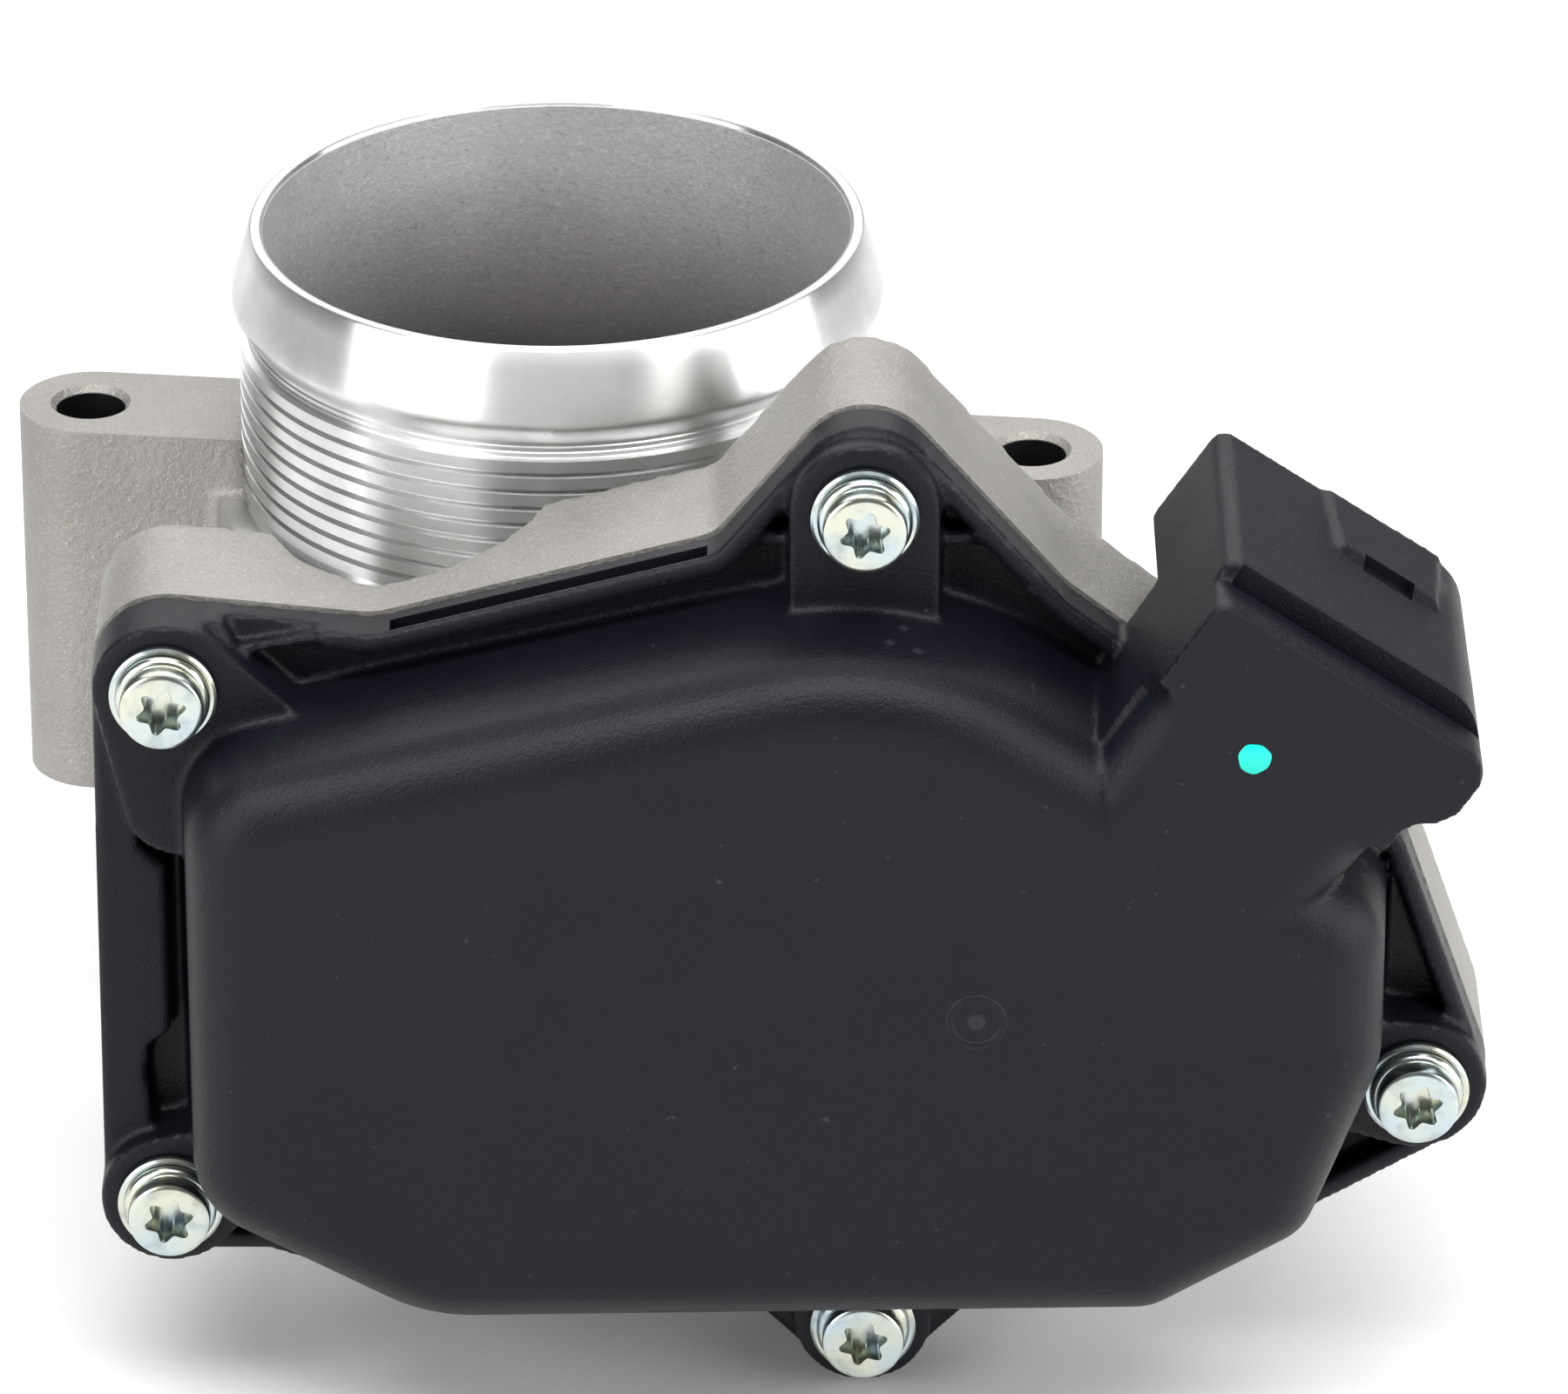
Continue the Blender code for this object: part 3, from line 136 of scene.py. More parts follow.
def cross(a, b, c):
    return (b[0] - a[0]) * (c[1] - a[1]) - (b[1] - a[1]) * (c[0] - a[0])


def rounded(corners, offset=0.0, steps=10):
    """Points of an anticlockwise outline of (u, v, radius) corners, grown outwards by offset."""
    count = len(corners)
    spots = [Vector(c[:2]) for c in corners]
    edges = []
    for i in range(count):
        direction = (spots[(i + 1) % count] - spots[i]).normalized()
        outward = Vector((direction.y, -direction.x))
        edges.append((spots[i] + outward * offset, direction))
    points = []
    for i in range(count):
        before, came = edges[i - 1]
        after, goes = edges[i]
        turn = came.x * goes.y - came.y * goes.x
        reach = (after - before).cross(goes) / turn
        corner = before + came * reach
        side = 1.0 if turn > 0 else -1.0
        radius = max(corners[i][2] + side * offset, 0.25)
        half = came.angle(goes) / 2
        centre = corner - came * radius * math.tan(half) + Vector((-came.y, came.x)) * radius * side
        start = math.atan2(came.y, came.x) - side * math.pi / 2
        for k in range(steps + 1):
            angle = start + side * 2 * half * k / steps
            points.append(centre + Vector((math.cos(angle), math.sin(angle))) * radius)
    return points


def hull(circles, steps=48):
    """Anticlockwise outline of the smallest convex shape around circles (u, v, radius)."""
    cloud = []
    for u, v, radius in circles:
        for k in range(steps):
            angle = 2 * math.pi * k / steps
            cloud.append((u + radius * math.cos(angle), v + radius * math.sin(angle)))
    cloud.sort()
    outline = []
    for run in (cloud, cloud[::-1]):
        chain = []
        for point in run:
            while len(chain) > 1 and cross(chain[-2], chain[-1], point) <= 1e-9:
                chain.pop()
            chain.append(point)
        outline += chain[:-1]
    return [Vector(p) for p in outline]


def bar(a, b, width):
    """Outline of a straight bar of that width from a to b."""
    a, b = Vector(a), Vector(b)
    side = (b - a).normalized()
    side = Vector((side.y, -side.x)) * width / 2
    return [a + side, b + side, b - side, a - side]


def plug_point(along, up):
    """An (x, z) place in the connector's own tilted directions."""
    return Vector(PLUG_CENTRE) + ALONG * along + UP * up


def plug_corners(low, high, bottom, top, square_r, round_r):
    places = [(low, bottom, square_r), (high, bottom, round_r), (high, top, round_r), (low, top, square_r)]
    return [(*plug_point(along, up), radius) for along, up, radius in places]


def flange_corners():
    """The flange's outline: round corners about the screws and straight runs between them."""
    left, top, right, low_left, low = SCREWS
    r = BOSS_R
    low_tip = low[1] - 1.414 * r
    low_reach = FLANGE_LOW - low_tip
    return [
        (low_left[0] - 0.95 * r, low_left[1] - r, r),
        (low_left[0] + 9.2, low_left[1] - r, 3),
        (-12.0, FLANGE_LOW, 6),
        (low[0] - low_reach, FLANGE_LOW, 2),
        (low[0], low_tip, r),
        (low[0] + low_reach, FLANGE_LOW, 2),
        (61.0, -23.3, 6),
        (right[0] + 1.23 * r, right[1] - 0.6 * r, r),
        (79.9, 22.9, 4),
        (48.2, 47.3, 4),
        (top[0], top[1] + 1.7 * r, r),
        (15.6, 52.3, 3),
        (-16.2, 44.0, 6),
        (left[0] - 1.0 * r, left[1] + 1.06 * r, r),
    ]


def dome_corners():
    """The outline of the domed housing over the gears and the motor."""
    return [
        (-34.4, -10.6, 9),
        (-12.0, -22.9, 18),
        (57.0, -21.9, 7),
        (71.8, -13.2, 6.5),
        (78.7, 5.0, 14),
        (78.7, 22.0, 8),
        (33.4, 51.0, 34),
        (-34.4, 35.0, 9),
    ]


# ---------------------------------------------------------------- solids

def mesh_object(name, points, faces):
    """A closed mesh from points in millimetres, its faces turned outwards."""
    mesh = bpy.data.meshes.new(name)
    mesh.from_pydata([Vector(p) * MM for p in points], [], faces)
    shape = bmesh.new()
    shape.from_mesh(mesh)
    bmesh.ops.recalc_face_normals(shape, faces=shape.faces)
    shape.to_mesh(mesh)
    shape.free()
    obj = bpy.data.objects.new(name, mesh)
    bpy.context.scene.collection.objects.link(obj)
    return obj


def loft(name, rings):
    """A solid through closed rings of equally many points, capped at both ends."""
    count = len(rings[0])
    points = [p for ring in rings for p in ring]
    faces = []
    for i in range(len(rings) - 1):
        for k in range(count):
            j = (k + 1) % count
            faces.append((i * count + k, i * count + j, (i + 1) * count + j, (i + 1) * count + k))
    last = (len(rings) - 1) * count
    faces.append(tuple(reversed(range(count))))
    faces.append(tuple(range(last, last + count)))
    return mesh_object(name, points, faces)


def lifted(point, y):
    """An (x, z) place at depth y."""
    return point[0], y, point[1]


def along_y(outline, y):
    return [lifted(p, y) for p in outline]


def prism(name, outline, low, high, axis='Y'):
    """An outline drawn out from low to high along the axis."""
    if axis == 'Y':
        return loft(name, [along_y(outline, low), along_y(outline, high)])
    return loft(name, [[(p[0], p[1], z) for p in outline] for z in (low, high)])


def circle(centre, radius, steps=64):
    turn = 2 * math.pi / steps
    return [Vector((centre[0] + radius * math.cos(k * turn), centre[1] + radius * math.sin(k * turn)))
            for k in range(steps)]


def cylinder(name, radius, low, high, centre=(0, 0), axis='Y', steps=64):
    return prism(name, circle(centre, radius, steps), low, high, axis)


def box(name, low, high):
    x0, y0, z0 = low
    x1, y1, z1 = high
    return loft(name, [[(x0, y0, z), (x1, y0, z), (x1, y1, z), (x0, y1, z)] for z in (z0, z1)])


def turned(name, profile, centre=(0, 0), axis='Z', steps=96):
    """A profile of (radius, height) points from one end of the axis round to the other, turned about it."""
    rings = []
    for radius, height in profile:
        flat = circle(centre, max(radius, 0.001), steps)
        if axis == 'Z':
            rings.append([(p[0], p[1], height) for p in flat])
        else:
            rings.append([(p[0], height, p[1]) for p in flat])
    return loft(name, rings)


def turned_ring(name, profile, centre=(0, 0), axis='Z', steps=96):
    """A closed profile of (radius, height) points turned about the axis: a ring with a hole."""
    count = len(profile)
    points, faces = [], []
    for k in range(steps):
        angle = 2 * math.pi * k / steps
        for radius, height in profile:
            u = centre[0] + radius * math.cos(angle)
            v = centre[1] + radius * math.sin(angle)
            points.append((u, v, height) if axis == 'Z' else (u, height, v))
    for k in range(steps):
        n = (k + 1) % steps
        for i in range(count):
            j = (i + 1) % count
            faces.append((k * count + i, k * count + j, n * count + j, n * count + i))
    return mesh_object(name, points, faces)


def freeze(obj):
    """Apply an object's modifiers to its mesh."""
    seen = obj.evaluated_get(bpy.context.evaluated_depsgraph_get())
    mesh = bpy.data.meshes.new_from_object(seen)
    obj.modifiers.clear()
    old = obj.data
    obj.data = mesh
    bpy.data.meshes.remove(old)
    return obj


def combine(body, others, operation):
    """Join or cut with other solids, which are used up."""
    for other in others:
        modifier = body.modifiers.new(other.name, 'BOOLEAN')
        modifier.object = other
        modifier.operation = operation
        modifier.solver = 'MANIFOLD'
    bpy.context.view_layer.update()
    freeze(body)
    for other in others:
        bpy.data.objects.remove(other)
    return body


def cut(body, *others):
    return combine(body, others, 'DIFFERENCE')


def add(body, *others):
    return combine(body, others, 'UNION')


def soften(body, voxel, passes):
    """Remake a solid as one skin with small rounded edges and fillets, as casting and moulding leave."""
    remesh = body.modifiers.new('Skin', 'REMESH')
    remesh.mode = 'VOXEL'
    remesh.voxel_size = voxel * MM
    smooth = body.modifiers.new('Round', 'SMOOTH')
    smooth.factor = 0.5
    smooth.iterations = passes
    bpy.context.view_layer.update()
    return freeze(body)


def shade(obj, angle=32):
    """Smooth shading, with edges sharper than the angle, in degrees, left crisp."""
    obj.data.shade_smooth()
    obj.data.set_sharp_from_angle(angle=math.radians(angle))
    return obj


def finish(obj, material, body='housing', nodes=()):
    """Give a piece its material and the body it rides on."""
    obj.data.materials.clear()
    obj.data.materials.append(material)
    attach(obj, body)
    if nodes:
        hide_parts(*nodes)
    return obj


# ---------------------------------------------------------------- materials

class Nodes:
    """A material's node tree, with short ways to add and link nodes."""

    def __init__(self, name):
        self.material = bpy.data.materials.new(name)
        self.material.use_nodes = True
        self.tree = self.material.node_tree
        self.shader = self.tree.nodes['Principled BSDF']
        self.place = self.tree.nodes.new('ShaderNodeTexCoord').outputs['Object']

    def link(self, source, target):
        self.tree.links.new(source, target)

    def node(self, kind, **inputs):
        made = self.tree.nodes.new('ShaderNode' + kind)
        for key, value in inputs.items():
            socket = made.inputs[key.replace('_', ' ')]
            if isinstance(value, bpy.types.NodeSocket):
                self.link(value, socket)
            else:
                socket.default_value = value
        return made

    def stretched(self, x, y, z):
        return self.node('Mapping', Vector=self.place, Scale=(x, y, z)).outputs['Vector']

    def noise(self, scale, detail=3.0, rough=0.55, vector=None):
        made = self.node('TexNoise', Vector=vector or self.place, Scale=scale, Detail=detail, Roughness=rough)
        return made.outputs['Fac']

    def ramp(self, value, low, high, first=0.0, last=1.0):
        """A value mapped from low..high to first..last, held at the ends."""
        made = self.tree.nodes.new('ShaderNodeMapRange')
        self.link(value, made.inputs['Value'])
        for key, number in zip(('From Min', 'From Max', 'To Min', 'To Max'), (low, high, first, last)):
            made.inputs[key].default_value = number
        return made.outputs['Result']

    def blend(self, factor, first, second):
        """A colour mixed from two; a Mix node's sockets for colours share their names with other types."""
        made = self.tree.nodes.new('ShaderNodeMix')
        made.data_type = 'RGBA'
        self.feed(factor, made.inputs[0])
        self.feed(first, made.inputs[6])
        self.feed(second, made.inputs[7])
        return made.outputs[2]

    def feed(self, value, socket):
        """Link a socket's value to another socket, or set it to a colour or a number."""
        if isinstance(value, bpy.types.NodeSocket):
            self.link(value, socket)
        elif isinstance(value, tuple):
            socket.default_value = (*value, 1.0)
        else:
            socket.default_value = value

    def bump(self, height, strength, distance, normal=None):
        made = self.node('Bump', Height=height, Strength=strength, Distance=distance)
        if normal is not None:
            self.link(normal, made.inputs['Normal'])
        return made.outputs['Normal']

    def set(self, **inputs):
        for key, value in inputs.items():
            self.feed(value, self.shader.inputs[key.replace('_', ' ')])
        return self


def painted_edge_highlight(nodes, strength):
    """How much a point stands proud, up to strength on an edge: where a highlight is painted on edges."""
    geometry = nodes.tree.nodes.new('ShaderNodeNewGeometry')
    return nodes.ramp(geometry.outputs['Pointiness'], 0.52, 0.62, 0.0, strength)


def black_plastic():
    """Moulded black plastic with a fine grain, a few pale specks and a painted highlight that turns its edges
    grey.
    """
    n = Nodes('moulded_black')
    base = (0.003, 0.0032, 0.0062)
    fine = n.noise(3200, 2, 0.6)
    broad = n.noise(60, 4, 0.6)
    specks = n.ramp(n.noise(900, 2, 0.5), 0.74, 0.78)
    tint = n.blend(n.ramp(broad, 0.3, 0.7), base, tuple(1.35 * c for c in base))
    tint = n.blend(n.ramp(specks, 0, 1, 0, 0.3), tint, (0.07, 0.07, 0.085))
    # Painted highlight: edges that stand proud are lightened to grey.
    tint = n.blend(painted_edge_highlight(n, 0.25), tint, (0.06, 0.062, 0.07))
    n.set(Base_Color=tint, Roughness=n.ramp(broad, 0.2, 0.8, 0.37, 0.49))
    n.set(Normal=n.bump(fine, 0.5, 0.00016))
    n.shader.inputs['Specular IOR Level'].default_value = 0.22
    return n.material


def cast_metal():
    """The casting's dull grey skin: grain, slow changes of tone and painted glints of single crystals."""
    n = Nodes('cast_aluminium_skin')
    grain = n.noise(1500, 3, 0.7)
    flow = n.noise(45, 5, 0.6)
    painted_glint = n.ramp(n.noise(4200, 1, 0.5), 0.62, 0.72)
    tint = n.blend(n.ramp(flow, 0.3, 0.7), (0.25, 0.24, 0.222), (0.33, 0.318, 0.297))
    # Painted glints: pale specks in the colour stand in for single crystals catching the light.
    tint = n.blend(n.ramp(painted_glint, 0, 1, 0, 0.26), tint, (0.75, 0.74, 0.7))
    tint = n.blend(n.ramp(grain, 0.35, 0.2, 0, 0.3), tint, (0.3, 0.29, 0.27))
    n.set(Base_Color=tint, Metallic=0.55, Roughness=n.ramp(flow, 0.2, 0.8, 0.46, 0.58))
    n.set(Normal=n.bump(grain, 0.7, 0.0003, n.bump(flow, 0.25, 0.0008)))
    return n.material


def turned_metal():
    """Aluminium off the lathe: fine rings about the bore, and highlights drawn out along it."""
    n = Nodes('turned_aluminium')
    bright = (0.82, 0.825, 0.82)
    rings = n.noise(1.0, 2, 0.7, n.stretched(1.5, 1.5, 2400))
    cloud = n.noise(70, 5, 0.65)
    tint = n.blend(n.ramp(cloud, 0.35, 0.75), bright, tuple(0.72 * c for c in bright))
    n.set(Base_Color=tint, Metallic=1.0, Roughness=n.ramp(cloud, 0.2, 0.8, 0.24, 0.37))
    n.set(Normal=n.bump(rings, 0.12, 0.00003))
    n.shader.inputs['Anisotropic'].default_value = 0.95
    n.shader.inputs['Anisotropic Rotation'].default_value = 0.25
    tangent = n.tree.nodes.new('ShaderNodeTangent')
    tangent.direction_type = 'RADIAL'
    tangent.axis = 'Z'
    n.link(tangent.outputs['Tangent'], n.shader.inputs['Tangent'])
    return n.material


def bore_metal():
    """The grey wall of the bore, with painted shade that darkens it below the rim."""
    n = Nodes('bore_skin')
    grain = n.noise(1700, 3, 0.75)
    cloud = n.noise(38, 5, 0.6)
    tint = n.blend(n.ramp(cloud, 0.3, 0.7), (0.36, 0.355, 0.36), (0.5, 0.49, 0.49))
    tint = n.blend(n.ramp(grain, 0.55, 0.75, 0, 0.5), tint, (0.75, 0.74, 0.73))
    tint = n.blend(n.ramp(grain, 0.42, 0.28, 0, 0.5), tint, (0.15, 0.145, 0.15))
    # Painted shade: the colour goes almost black from 54 mm down to 34 mm, deeper in the bore.
    height = n.node('SeparateXYZ', Vector=n.place).outputs['Z']
    tint = n.blend(n.ramp(height, 0.054, 0.034, 0, 0.92), tint, (0.05, 0.048, 0.05))
    n.set(Base_Color=tint, Metallic=0.35, Roughness=0.5)
    n.set(Normal=n.bump(grain, 0.5, 0.0002))
    return n.material


def zinc():
    """Bright zinc plate with a faint yellow and blue film, and dark patches that are painted reflections."""
    n = Nodes('bright_zinc')
    cloud = n.noise(420, 4, 0.6)
    film = n.noise(180, 2, 0.5)
    tint = n.blend(n.ramp(film, 0.35, 0.65), (0.6, 0.61, 0.5), (0.48, 0.57, 0.62))
    # Painted reflection: dark patches in the colour stand in for dark surroundings mirrored in the plate.
    tint = n.blend(n.ramp(cloud, 0.5, 0.75, 0, 0.6), tint, (0.24, 0.27, 0.27))
    n.set(Base_Color=tint, Metallic=1.0, Roughness=n.ramp(cloud, 0.2, 0.8, 0.16, 0.3))
    n.set(Normal=n.bump(cloud, 0.25, 0.0001))
    return n.material


def plain_metal(name, tint, rough):
    """A metal with cloudy tone and fine scratches along X."""
    n = Nodes(name)
    cloud = n.noise(240, 4, 0.6)
    scratches = n.noise(1.0, 3, 0.7, n.stretched(1800, 60, 60))
    tint = n.blend(n.ramp(cloud, 0.3, 0.8), tint, tuple(0.75 * c for c in tint))
    n.set(Base_Color=tint, Metallic=1.0, Roughness=n.ramp(cloud, 0.2, 0.8, rough - 0.06, rough + 0.08))
    n.set(Normal=n.bump(scratches, 0.15, 0.00006))
    return n.material


def plain_matter(name, tint, rough):
    """Rubber, plastic, paint or board: cloudy tone and a fine grain."""
    n = Nodes(name)
    cloud = n.noise(150, 4, 0.6)
    fine = n.noise(2400, 2, 0.6)
    tint = n.blend(n.ramp(cloud, 0.3, 0.7), tint, tuple(0.82 * c for c in tint))
    n.set(Base_Color=tint, Roughness=n.ramp(cloud, 0.2, 0.8, rough - 0.05, rough + 0.05))
    n.set(Normal=n.bump(fine, 0.2, 0.0001))
    return n.material


# ---------------------------------------------------------------- casting

def lug_centre(degrees):
    angle = math.radians(degrees)
    return BOLT_CIRCLE_R * math.cos(angle), BOLT_CIRCLE_R * math.sin(angle)


def casting_blank():
    """The as-cast outside as one softened skin, a little over size where faces are machined later."""
    parts = []
    for degrees in LUG_ANGLES:
        spot = Vector(lug_centre(degrees))
        out = spot.normalized()
        across = Vector((-out.y, out.x)) * LUG_R
        inner = out * (BORE_R + 1.5)
        web = [inner - across, spot - across, spot + across, inner + across]
        parts.append(prism('web', web, -2, LUG_TOP + 1.5, 'Z'))
        parts.append(cylinder('lug', LUG_R, -2, LUG_TOP + 1.5, spot, 'Z'))
    chamber = prism('chamber', rounded(flange_corners(), 0.15), PARTING - 2, CHAMBER_BACK)
    cut(chamber, cylinder('clamp_room', CLAMP_ROOM_R, LEDGE - 0.5, FAR, CLAMP_ROOM_CENTRE, 'Z'))
    parts.append(chamber)
    root = CHAMBER_BACK - 1  # inside the chamber, so that what stands on its back joins it
    parts.append(box('bridge', (-26, root, 2), (26, -BORE_R * 0.6, LEDGE - 2)))
    parts.append(cylinder('rear_boss', REAR_BOSS_R, BORE_R * 0.8, REAR_BOSS_Y + 2, (0, SHAFT_Z)))
    barrel_r = MOTOR_R + 2.7
    barrel_back = MOTOR_BACK + 3.2
    parts.append(cylinder('barrel', barrel_r, root, barrel_back, MOTOR))
    shoulder_low = (lug_centre(LUG_ANGLES[1])[0] - 2, root, 4)
    shoulder_high = (MOTOR[0], barrel_back, MOTOR[1] + barrel_r + 1.2)
    parts.append(box('shoulder', shoulder_low, shoulder_high))
    parts.append(cylinder('axle_boss', AXLE_R + 3, root, CHAMBER_BACK + 4, AXLE))
    for spot in SCREWS:
        parts.append(cylinder('thread_boss', 5.2, root, CHAMBER_BACK + 3.0, spot))
    body = cylinder('casting_body', BODY_R, -2, LEDGE, axis='Z', steps=128)
    add(body, *parts)
    return soften(body, CAST_VOXEL, 5)


def machine_lugs(body):
    """Flat faces on the lugs and their webs, and a chamfered bolt hole in each."""
    chamfer_r = BOLT_HOLE_R + BOLT_CHAMFER
    hole = [(0.0, -9), (BOLT_HOLE_R, -9), (BOLT_HOLE_R, LUG_TOP - 0.6), (chamfer_r, LUG_TOP + 0.2),
            (chamfer_r, LUG_TOP + 5), (0.0, LUG_TOP + 5)]
    for degrees in LUG_ANGLES:
        spot = Vector(lug_centre(degrees))
        out = spot.normalized()
        web = bar(out * (BODY_R - 7), spot - out * 6.2, 20)
        cut(body, cylinder('lug_face', LUG_R + 4, LUG_TOP, LUG_TOP + 6, spot, 'Z'))
        cut(body, prism('web_face', web, LUG_TOP, LUG_TOP + 6, 'Z'))
        cut(body, turned('bolt_hole', hole, spot))


def machine_bores(body):
    """The bore, the gear chamber's pockets, and the seats of shaft, motor, axle and screws."""
    cut(body, cylinder('bore', BORE_R + 0.8, -9, SPIGOT_TOP + 9, axis='Z', steps=160))
    deep = prism('pocket', rounded(dome_corners()), CHAMBER_FLOOR, PARTING - 4)
    cut(deep, box('above_pocket', (-FAR, -60, LEDGE - 3), (140, -20, FAR)))
    cut(body, deep)
    cut(body, prism('shallow_pocket', rounded(dome_corners()), SHALLOW_FLOOR, PARTING - 4))
    shaft = (0, SHAFT_Z)
    front = CHAMBER_FLOOR - 2
    cut(body, cylinder('shaft_bore', SHAFT_BORE_R, front, REAR_BOSS_Y + 2, shaft))
    cut(body, cylinder('front_seat', BEARING_SEAT_R, front, FRONT_SEAT_Y, shaft))
    cut(body, cylinder('rear_seat', BEARING_SEAT_R, REAR_SEAT_Y, REAR_BOSS_Y + 4, shaft))
    cut(body, cylinder('motor_pocket', MOTOR_R + 0.3, front, MOTOR_BACK + 1, MOTOR))
    cut(body, cylinder('axle_hole', AXLE_R + 0.12, front, CHAMBER_BACK + 1.8, AXLE))
    for spot in SCREWS:
        cut(body, cylinder('thread', SCREW_HOLE_R, PARTING - 4, PARTING + 10.5, spot))


def casting_body():
    """The cast blank with its machined faces, bores and holes cut crisp."""
    body = casting_blank()
    cut(body, cylinder('below', 60, -8, 0, (0, 28), 'Z'))
    cut(body, box('in_front', (-FAR, -FAR, -60), (140, PARTING, FAR)))
    cut(body, box('behind', (-12, REAR_BOSS_Y, -10), (12, FAR, 30)))
    machine_lugs(body)
    machine_bores(body)
    shade(body)
    return finish(body, CAST, nodes=['throttle_body_casting'])


def spigot():
    """The turned hose end: bright land, polished bead, neck, and ridges down to the ledge."""
    land = [(BORE_R + 0.05, SPIGOT_TOP - 0.25), (BORE_R + 0.3, SPIGOT_TOP), (BORE_R + 0.95, SPIGOT_TOP),
            (BORE_R + 1.15, SPIGOT_TOP - 0.12)]
    bead = [(29.75, 60.75), (30.3, 58.8), (30.85, 56.9), (31.35, 55.1), (31.55, 54.2), (31.58, 53.8),
            (31.5, 53.45), (31.2, 53.0), (30.7, 52.3), (NECK_R, 51.6)]
    profile = land + bead
    for z in (51.2, 50.6):
        groove_r = NECK_R - 0.15
        profile += [(NECK_R, z + 0.2), (groove_r, z + 0.08), (groove_r, z - 0.08), (NECK_R, z - 0.2)]
    z = RIDGES_TOP
    while z > LEDGE + 1.2:
        profile += [(NECK_R, z), (RIDGE_R, z - 0.14), (RIDGE_R, z - 1.3), (NECK_R, z - 1.42)]
        z -= RIDGE_PITCH
    foot = [(30.6, 0.5), (30.8, 0.06), (33.15, 0.06), (33.28, -0.06), (33.28, -2), (31.2, -2.2), (31.2, -6)]
    profile += [(radius, LEDGE + height) for radius, height in foot]
    profile.append((BORE_R, LEDGE - 6))
    body = turned_ring('casting_spigot', profile, steps=256)
    shade(body, 50)
    return finish(body, TURNED, nodes=['throttle_body_casting'])


def hole_sleeves():
    """The drilled walls of the bolt holes, coloured near black as painted shade inside the holes."""
    outside = BOLT_HOLE_R + 0.5
    inside = BOLT_HOLE_R - 0.02
    wall = [(outside, 0.3), (outside, LUG_TOP - 0.75), (inside, LUG_TOP - 0.7), (inside, 0.3)]
    for number, degrees in enumerate(LUG_ANGLES, 1):
        sleeve = turned_ring(f'casting_hole_wall_{number}', wall, lug_centre(degrees))
        finish(shade(sleeve), HOLE_SHADE, nodes=['throttle_body_casting'])


def bore_liner():
    """The wall of the bore, its own finish with painted shade, from the outlet to just under the rim."""
    profile = [(BORE_R + 0.9, 0.05), (BORE_R + 0.9, LEDGE - 6.2), (BORE_R + 0.04, LEDGE - 6.1),
               (BORE_R + 0.04, SPIGOT_TOP - 0.5), (BORE_R - 0.06, SPIGOT_TOP - 0.6), (BORE_R - 0.05, 40.0),
               (BORE_R - 0.06, 18.0), (BORE_R - 0.06, 0.6), (BORE_R + 0.4, 0.05)]
    body = turned_ring('casting_bore_wall', profile, steps=192)
    cut(body, cylinder('shaft_port', SHAFT_BORE_R, -40, 40, (0, SHAFT_Z)))
    shade(body, 40)
    return finish(body, BORE, nodes=['throttle_body_casting'])


# ---------------------------------------------------------------- cover

def dome(name, grow=0.0, face=DOME_FACE, back=COVER_BACK - 0.4, radius=DOME_ROUND, draft=0.9):
    """The domed housing: drafted wall, round shoulder, flat face."""
    shoulder = face + radius
    levels = [(grow, back)]
    for k in range(9):
        angle = math.pi / 2 * k / 8
        inset = radius * (1 - math.cos(angle))
        levels.append((grow - draft - inset, shoulder - radius * math.sin(angle)))
    return loft(name, [along_y(rounded(dome_corners(), size, 16), y) for size, y in levels])


def neck_corners():
    low, high = -PLUG_LENGTH / 2, PLUG_LENGTH / 2
    bottom, top = -PLUG_WIDTH / 2, PLUG_WIDTH / 2 - COLLAR_DROP
    places = [(low + 1.0, -30, 1), (high - 4.2, -30, 1), (high - 3.2, bottom + 1, 3), (high, bottom + 3, 4),
              (high, top, 2.5), (low, top, 1.2), (low, bottom, 1)]
    return [(*plug_point(along, up), radius) for along, up, radius in places]


def neck():
    """The block between dome and connector: its long edges are round by the dome and crisp further up."""
    body = prism('neck', rounded(neck_corners(), 0, 8), DOME_FACE, SOCKET_FLOOR + 1.5)
    low, high = -PLUG_LENGTH / 2, PLUG_LENGTH / 2
    for edge, crisp, side in ((low + 1.0, -6.0, -1), (high - 4.2, -8.5, 1)):
        sections = [(-40, 4.6), (crisp - 4.5, 4.6), (crisp - 2.6, 4.2), (crisp - 1.2, 3.0),
                    (crisp - 0.3, 1.2), (crisp, 0.06)]
        rings = []
        for up, radius in sections:
            rail = []
            for k in range(9):
                angle = math.pi / 2 * k / 8
                along = edge - side * radius * (1 - math.sin(angle))
                rail.append((along, DOME_FACE + radius * (1 - math.cos(angle))))
            rail += [(edge + side * 3, DOME_FACE + radius), (edge + side * 3, DOME_FACE - 2),
                     (edge - side * radius, DOME_FACE - 2)]
            rings.append([lifted(plug_point(along, up), y) for along, y in rail])
        cut(body, loft('round_edge', rings))
    return body


def shroud():
    """The connector's outer wall: square at its upper end, fully round at its lower end."""
    low, high = -PLUG_LENGTH / 2, PLUG_LENGTH / 2
    corners = plug_corners(low, high, -PLUG_WIDTH / 2, PLUG_WIDTH / 2, 1.5, PLUG_WIDTH / 2 - 0.1)
    return prism('shroud', rounded(corners, 0, 14), PLUG_SHOULDER, PLUG_MOUTH)


def latch():
    """The pad on the connector's upper side that the plug's latch snaps over."""
    top = PLUG_WIDTH / 2
    mouth = PLUG_MOUTH - 0.2
    rings = []
    for up, grow in ((top - 1, 0.0), (top + 0.25, 0.0), (top + 0.5, -0.25)):
        spots = [(LATCH_AT - 5.5 - grow, LATCH_FRONT - grow), (LATCH_AT + 5.5 + grow, LATCH_FRONT - grow),
                 (LATCH_AT + 6.6 + grow, mouth), (LATCH_AT - 6.6 - grow, mouth)]
        rings.append([lifted(plug_point(along, up), y) for along, y in spots])
    return loft('latch', rings)


